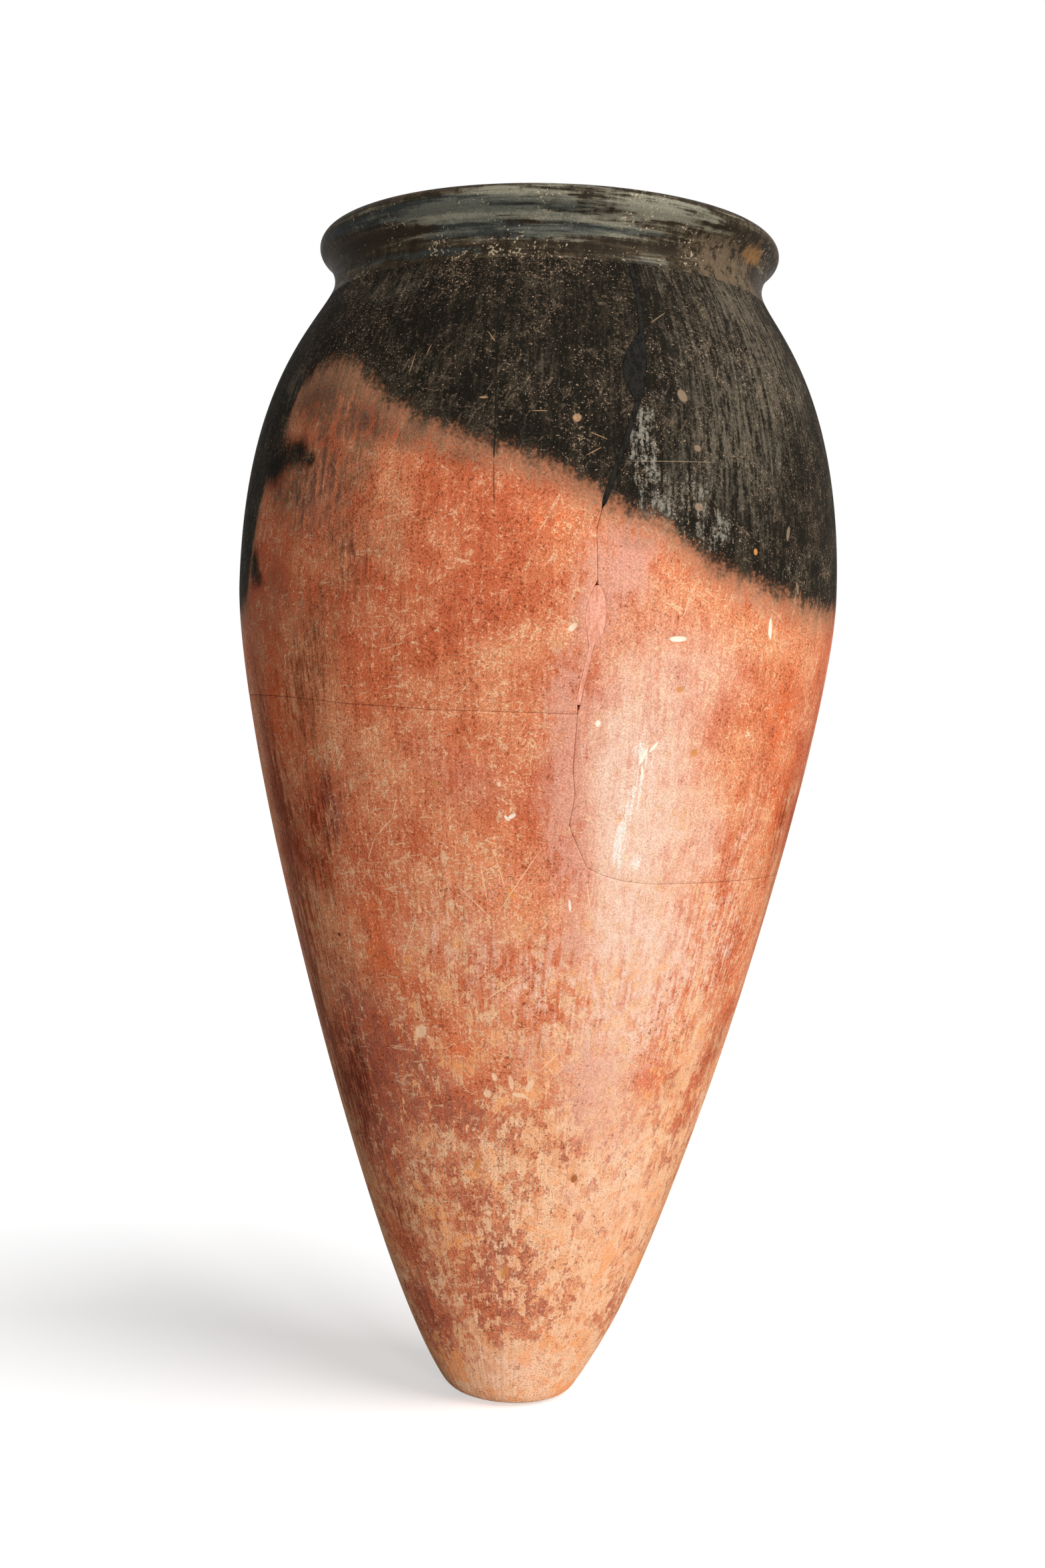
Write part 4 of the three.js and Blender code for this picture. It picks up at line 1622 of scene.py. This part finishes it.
@dataclass
class FootCup:
    """The pinched foot with its flat face and thick floor.

    Attributes:
        columns: Steps round the foot.
        spacing: Distance between points of its outer face.
        inner_spacing: Distance between points of its flat, joint and hollow.
        slope_rise: Rise over which the lining's slope is taken at the joint.
    """

    columns: int = 220
    spacing: float = 1.1
    inner_spacing: float = 2.0
    slope_rise: float = 1.0

    def section(self) -> Points:
        """The foot's half section, from the middle of its flat face up, in and down to its floor.

        Returns:
            Radius and height of each point.
        """
        top = JAR.foot_joint
        lining = JAR.lining_point(top + JAR.joint_bevel)
        above = JAR.lining_point(top + JAR.joint_bevel + self.slope_rise)
        slope = (above - lining) / (above - lining)[1]
        corner = lining + slope * (JAR.floor - lining[1])
        hollow = bezier([lining, corner, (0.0, JAR.floor)], JAR.arc_points)
        outside = even(JAR.run(0.0, top), self.spacing)
        flat = even([(0.0, 0.0), (JAR.foot_flat, 0.0)], self.inner_spacing)
        joint = even([outside[-1], lining], self.inner_spacing)
        return np.vstack([flat[:-1], outside, joint[1:], even(hollow, self.inner_spacing)[1:]])

    def build(self, clay: bpy.types.Material) -> bpy.types.Object:
        """Builds and dresses the foot."""
        return finish_piece(turned(self.section(), self.columns, False), Node.FOOT, clay)


@dataclass
class BrokenWall:
    """The broken wall: the lower part, and a sherd on either side of the main crack.

    Attributes:
        lower_columns: Steps round the lower part.
        crack_columns: How many of those end on the main crack.
        lower_rows: Steps up the lower part.
        column_lean: How far those steps lean, so that they meet the upright crack at a slant.
        left_grid: Steps across and up the left sherd.
        right_grid: Steps across and up the right sherd.
        finer: Cuts made in each edge of the outer faces.
        rounds: Rounds in which a sherd's angles and heights come to agree.
        ease: How far broken edges are rounded.
    """

    lower_columns: int = 256
    crack_columns: int = 20
    lower_rows: int = 64
    column_lean: float = 26.0
    left_grid: tuple[int, int] = (140, 64)
    right_grid: tuple[int, int] = (136, 84)
    finer: int = 1
    rounds: int = 8
    ease: float = 0.16

    def crack_edge(self, height: Points, hand: Hand) -> Points:
        """The angle at which a sherd stops short of the main crack and its fills.

        Args:
            height: Heights along the crack.
            hand: Which side of the crack the sherd is on.

        Returns:
            Angles.
        """
        reach = np.full_like(height, BREAKS.gap)
        for fill in (BLACK_FILL, PINK_FILL):
            swell = fill.swell_left if hand is Hand.LEFT else fill.swell_right
            reach = np.maximum(reach, fill.reach(height, swell) + BREAKS.gap)
        return BREAKS.turn(BREAKS.main_x(height) + hand.value * reach, height, Side.FRONT)

    def sherd(self, grid: tuple[int, int], place: Callable[[Points, Points], Points]) -> bmesh.types.BMesh:
        """A sheet of the outer face, made thick.

        Args:
            grid: Steps across and up.
            place: Gives points for shares across and up.

        Returns:
            The sherd's mesh.
        """
        bm = bmesh.new()
        bmesh.ops.create_grid(bm, x_segments=grid[0], y_segments=grid[1], size=0.5)
        reshape(bm, lambda flat: place(flat[:, 0] + 0.5, flat[:, 1] + 0.5))
        thicken(bm, self.finer)
        return bm

    def upper(
        self, across: Points, up: Points, foot: Points,
        left: Callable[[Points], Points], right: Callable[[Points], Points],
    ) -> Points:
        """Places points of an upper sherd between its two upright edges and over its lower one.

        Args:
            across: Shares from the left edge to the right one.
            up: Shares from the lower edge to the top.
            foot: Angles and heights of the lower edge.
            left: Angle of the left edge at a height.
            right: Angle of the right edge at a height.

        Returns:
            The points.
        """
        height = np.full_like(up, JAR.belly_height)
        for _ in range(self.rounds):
            angle = left(height) + across * (right(height) - left(height))
            low = np.interp(angle, foot[:, 0], foot[:, 1]) + BREAKS.gap
            height = low + up * (JAR.wall_top - low)
        return on_wall(angle, height)

    def left(self) -> bmesh.types.BMesh:
        """The sherd left of the main crack.

        Returns:
            Its mesh.
        """
        return self.sherd(self.left_grid, lambda across, up: self.upper(
            across, up, BREAKS.left_foot,
            lambda height: BREAKS.back_turn(height) - 360.0 + BREAKS.back_gap,
            lambda height: self.crack_edge(height, Hand.LEFT),
        ))

    def right(self) -> bmesh.types.BMesh:
        """The sherd right of the main crack.

        Returns:
            Its mesh.
        """
        return self.sherd(self.right_grid, lambda across, up: self.upper(
            across, up, BREAKS.right_foot,
            lambda height: self.crack_edge(height, Hand.RIGHT),
            lambda height: BREAKS.back_turn(height) - BREAKS.back_gap,
        ))

    def lower(self) -> bmesh.types.BMesh:
        """The unbroken lower part, with the two broken levels and the foot of the main crack on top.

        Returns:
            Its mesh.
        """
        rim = np.vstack([BREAKS.right_foot, BREAKS.left_foot[1:] + (360.0, 0.0)])
        step = BREAKS.crack_foot + (360.0, 0.0)
        top = np.vstack([
            wall_stops(rim, self.lower_columns - self.crack_columns) - (0.0, BREAKS.gap),
            wall_stops(step, self.crack_columns) - (math.degrees(BREAKS.gap / JAR.belly), 0.0),
        ])
        start = rim[0, 0] - self.column_lean

        def place(drum: Points) -> Points:
            """Lays a drum of unit size out under the broken edge.

            Args:
                drum: Points of the drum.

            Returns:
                Their places on the wall.
            """
            turn = np.degrees(np.arctan2(drum[:, 1], drum[:, 0])) % 360.0
            column = np.rint(turn / 360.0 * self.lower_columns).astype(int) % self.lower_columns
            share = drum[:, 2]
            below = start + 360.0 * column / self.lower_columns
            angle = below + share * (top[column, 0] - below)
            height = JAR.foot_joint + share * (top[column, 1] - JAR.foot_joint)
            return on_wall(angle, height)

        bm = bmesh.new()
        shares = np.linspace(0, 1, self.lower_rows + 1)
        draw(bm, np.column_stack([np.ones_like(shares), shares]), False)
        spin(bm, self.lower_columns)
        reshape(bm, place)
        thicken(bm, self.finer)
        return bm

    def build(self, clays: dict[Node, bpy.types.Material]) -> list[bpy.types.Object]:
        """Builds and dresses the three parts.

        Args:
            clays: The finish of each node.

        Returns:
            The pieces.
        """
        made = {Node.LOWER: self.lower(), Node.LEFT: self.left(), Node.RIGHT: self.right()}
        pieces = []
        for node, bm in made.items():
            ease_breaks(bm, self.ease, (JAR.foot_joint, JAR.wall_top))
            pieces.append(finish_piece(bm, node, clays[node]))
        return pieces


@dataclass
class CrackFills:
    """The mender's two fills in the main crack.

    Attributes:
        across: Steps across a fill.
        up: Steps up a fill.
        foot_gap: How far a fill's mesh starts above its lower end.
        ease: How far their edges are rounded.
    """

    across: int = 8
    up: int = 70
    foot_gap: float = 0.3
    ease: float = 0.12

    def fill(self, shape: FillShape) -> bmesh.types.BMesh:
        """Builds one fill.

        Args:
            shape: Its outline along the crack.

        Returns:
            The fill's mesh.
        """
        top = min(shape.top, JAR.wall_top)
        foot = shape.foot + self.foot_gap

        def place(flat: Points) -> Points:
            """Lays a flat sheet along the crack.

            Args:
                flat: Points of the sheet.

            Returns:
                Their places on the wall.
            """
            height = foot + (flat[:, 1] + 0.5) * (top - foot)
            crack = BREAKS.main_x(height)
            left = crack - shape.reach(height, shape.swell_left)
            right = crack + shape.reach(height, shape.swell_right)
            across = left + (flat[:, 0] + 0.5) * (right - left)
            return on_wall(BREAKS.turn(across, height, Side.FRONT), height)

        bm = bmesh.new()
        bmesh.ops.create_grid(bm, x_segments=self.across, y_segments=self.up, size=0.5)
        reshape(bm, place)
        thicken(bm, 0)
        ease_breaks(bm, self.ease, (JAR.wall_top,))
        return bm

    def build(self, black: bpy.types.Material, pink: bpy.types.Material) -> list[bpy.types.Object]:
        """Builds and dresses both fills.

        Args:
            black: Finish of the upper fill.
            pink: Finish of the lower one.

        Returns:
            The pieces.
        """
        return [
            finish_piece(self.fill(BLACK_FILL), Node.BLACK_FILL, black),
            finish_piece(self.fill(PINK_FILL), Node.PINK_FILL, pink),
        ]


@dataclass
class NeckAndLip:
    """The collar on top of the wall and the rolled lip on the collar.

    Attributes:
        columns: Steps round both.
        spacing: Distance between points of the collar's faces.
        roll_spacing: Distance between points of the rolled lip.
        seat_spacing: Distance between points of the joints.
        roll_points: Points of the roll before they are spaced out.
    """

    columns: int = 360
    spacing: float = 0.8
    roll_spacing: float = 0.5
    seat_spacing: float = 1.5
    roll_points: int = 60

    def collar_section(self) -> Points:
        """The collar's half section as a loop.

        Returns:
            Radius and height of each point.
        """
        outside = even(JAR.run(JAR.wall_top, JAR.outer[-1, 1]), self.spacing)
        lip = JAR.lip_centre - (JAR.lip_roll, 0.0)
        throat = JAR.lining_point(JAR.wall_top + JAR.joint_bevel)
        middle = (throat[1] + lip[1]) / 2
        flare = bezier([lip, (lip[0], middle), (throat[0], middle), throat], JAR.arc_points)
        seat = even([outside[-1], lip], self.seat_spacing)
        joint = even([throat, outside[0]], self.seat_spacing)
        return np.vstack([outside, seat[1:], even(flare, self.spacing)[1:], joint[1:-1]])

    def rim_section(self) -> Points:
        """The rolled lip's half section as a loop.

        Returns:
            Radius and height of each point.
        """
        roll = arc(JAR.lip_centre, JAR.lip_roll, -JAR.lip_lean, math.pi, self.roll_points)
        roll = even(roll, self.roll_spacing)
        seat = even([roll[-1], roll[0]], self.seat_spacing)
        return np.vstack([roll, seat[1:-1]])

    def build(self, clay: bpy.types.Material) -> list[bpy.types.Object]:
        """Builds and dresses both rings.

        Args:
            clay: Their finish.

        Returns:
            The pieces.
        """
        return [
            finish_piece(turned(self.collar_section(), self.columns, True), Node.COLLAR, clay),
            finish_piece(turned(self.rim_section(), self.columns, True), Node.RIM, clay),
        ]


@dataclass(frozen=True)
class Lamp:
    """A broad, far light.

    Attributes:
        name: Its name.
        azimuth: Degrees to the right of the camera.
        elevation: Degrees above the floor.
        spread: How broad it looks from the jar, in degrees.
        level: How bright it lights a white face, where 1 is white.
        distance: How far off its lamp stands, in metres.
    """

    name: str
    azimuth: float
    elevation: float
    spread: float
    level: float
    distance: float = 2.0

    def build(self) -> None:
        """Hangs the lamp and turns it to the jar."""
        data = bpy.data.lights.new(self.name, "SUN")
        data.angle = math.radians(self.spread)
        data.energy = self.level * math.pi
        lamp = bpy.data.objects.new(self.name, data)
        turn, rise = math.radians(self.azimuth), math.radians(self.elevation)
        back = Vector((math.sin(turn) * math.cos(rise), -math.cos(turn) * math.cos(rise), math.sin(rise)))
        lamp.location = back * self.distance
        lamp.rotation_euler = back.to_track_quat("Z", "Y").to_euler()
        bpy.context.scene.collection.objects.link(lamp)


@dataclass
class Studio:
    """The pale floor, the lights and the camera.

    Attributes:
        distance: From the jar's axis to the camera.
        eye: Height of the camera.
        pitch: How far the camera looks up, in degrees.
        yaw: How far it looks to the left.
        roll: How far it is rolled, so that the jar leans to the right.
        lens: Focal length.
        sensor: Long side of the sensor.
        near: Nearest distance that the camera sees, in metres.
        ambient: Strength of the light from all round.
        floor_size: Side of the floor, in metres.
        floor_glow: How much the floor shines to the camera.
        white: Colour of the floor as it is seen, and of the light from all round.
        bounce: Colour of the floor as it lights the jar.
        lamps: The lights.
    """

    distance: float = 686.2
    eye: float = 219.1
    pitch: float = -0.59
    yaw: float = 0.25
    roll: float = 1.95
    lens: float = 45.06
    sensor: float = 36.0
    near: float = 0.01
    ambient: float = 0.08
    floor_size: float = 40.0
    floor_glow: float = 0.53
    white: Colour = (1.0, 1.0, 1.0, 1.0)
    bounce: Colour = (0.7, 0.7, 0.7, 1.0)
    lamps: tuple[Lamp, ...] = (Lamp("front", 25, 3, 8, 0.71), Lamp("side", 58, 50, 50, 0.72))

    def camera(self) -> None:
        """Sets up the camera at the photograph's viewing angle."""
        data = bpy.data.cameras.new("camera")
        data.lens = self.lens
        data.sensor_width = self.sensor
        data.clip_start = self.near
        camera = bpy.data.objects.new("camera", data)
        aim = Euler((math.radians(90 + self.pitch), 0, math.radians(self.yaw))).to_matrix()
        turn = aim @ Matrix.Rotation(math.radians(self.roll), 3, "Z")
        camera.matrix_world = Matrix.Translation((0, -self.distance * MM, self.eye * MM)) @ turn.to_4x4()
        bpy.context.scene.collection.objects.link(camera)
        bpy.context.scene.camera = camera

    @staticmethod
    def seen(s: NodeSheet) -> Shade:
        """Tells the rays that show the background from those that light the jar.

        Args:
            s: The sheet it is used on.

        Returns:
            1 for rays from the camera, off a gloss or through glass, and 0 for the rest.
        """
        path = s.node("ShaderNodeLightPath")
        shown = Shade(s, path.outputs["Is Camera Ray"])
        for ray in ("Is Glossy Ray", "Is Transmission Ray"):
            shown = shown | Shade(s, path.outputs[ray])
        return shown

    def floor(self) -> None:
        """Lays the pale floor, white to the camera and soft grey under the jar's shadow."""
        s = NodeSheet(bpy.data.materials.new("pale_floor"))
        plain = s.shade("ShaderNodeBsdfDiffuse", sockets={"Color": self.bounce})
        bright = s.shade("ShaderNodeBsdfDiffuse", sockets={"Color": self.white})
        glow = s.shade("ShaderNodeEmission", sockets={"Color": self.white, "Strength": self.floor_glow})
        lit = s.shade("ShaderNodeAddShader", sockets={0: bright, 1: glow})
        shown = s.shade("ShaderNodeMixShader", sockets={0: self.seen(s), 1: plain, 2: lit})
        s.node("ShaderNodeOutputMaterial", sockets={"Surface": shown})
        bm = bmesh.new()
        bmesh.ops.create_grid(bm, x_segments=1, y_segments=1, size=self.floor_size / 2)
        mesh = bpy.data.meshes.new("floor")
        bm.to_mesh(mesh)
        bm.free()
        mesh.materials.append(s.owner)
        floor = bpy.data.objects.new("floor", mesh)
        bpy.context.scene.collection.objects.link(floor)

    def world(self) -> None:
        """Surrounds the jar with soft light, and shows it as white."""
        s = NodeSheet(bpy.data.worlds.new("studio"))
        strength = s.shade("ShaderNodeMapRange", sockets={"Value": self.seen(s), "To Min": self.ambient})
        light = s.shade("ShaderNodeBackground", sockets={"Color": self.white, "Strength": strength})
        s.node("ShaderNodeOutputWorld", sockets={"Surface": light})
        bpy.context.scene.world = s.owner

    def build(self) -> None:
        """Builds the studio."""
        self.camera()
        self.floor()
        self.world()
        for lamp in self.lamps:
            lamp.build()
        bpy.context.scene.view_settings.view_transform = "Standard"


def main() -> None:
    """Builds the jar and the studio."""
    logging.basicConfig(level=logging.INFO, format="%(name)s: %(message)s")
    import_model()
    Studio().build()
    body = SlipAndSmoke()
    neck = SmokedNeck().build("smoked_neck")
    clays = {
        Node.FOOT: body.build("worn_foot"),
        Node.LOWER: body.build("slip_lower", LOWER_MARKS),
        Node.LEFT: body.build("slip_left", LEFT_MARKS),
        Node.RIGHT: body.build("slip_right", RIGHT_MARKS),
    }
    pieces = [
        FootCup().build(clays[Node.FOOT]),
        *BrokenWall().build(clays),
        *CrackFills().build(BLACK_FILLER.build("toned_black"), PINK_FILLER.build("toned_pink")),
        *NeckAndLip().build(neck),
    ]
    for piece in pieces:
        LOG.info("%s: %d faces", piece.name, len(piece.data.polygons))
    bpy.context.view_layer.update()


if __name__ == "__main__":
    main()
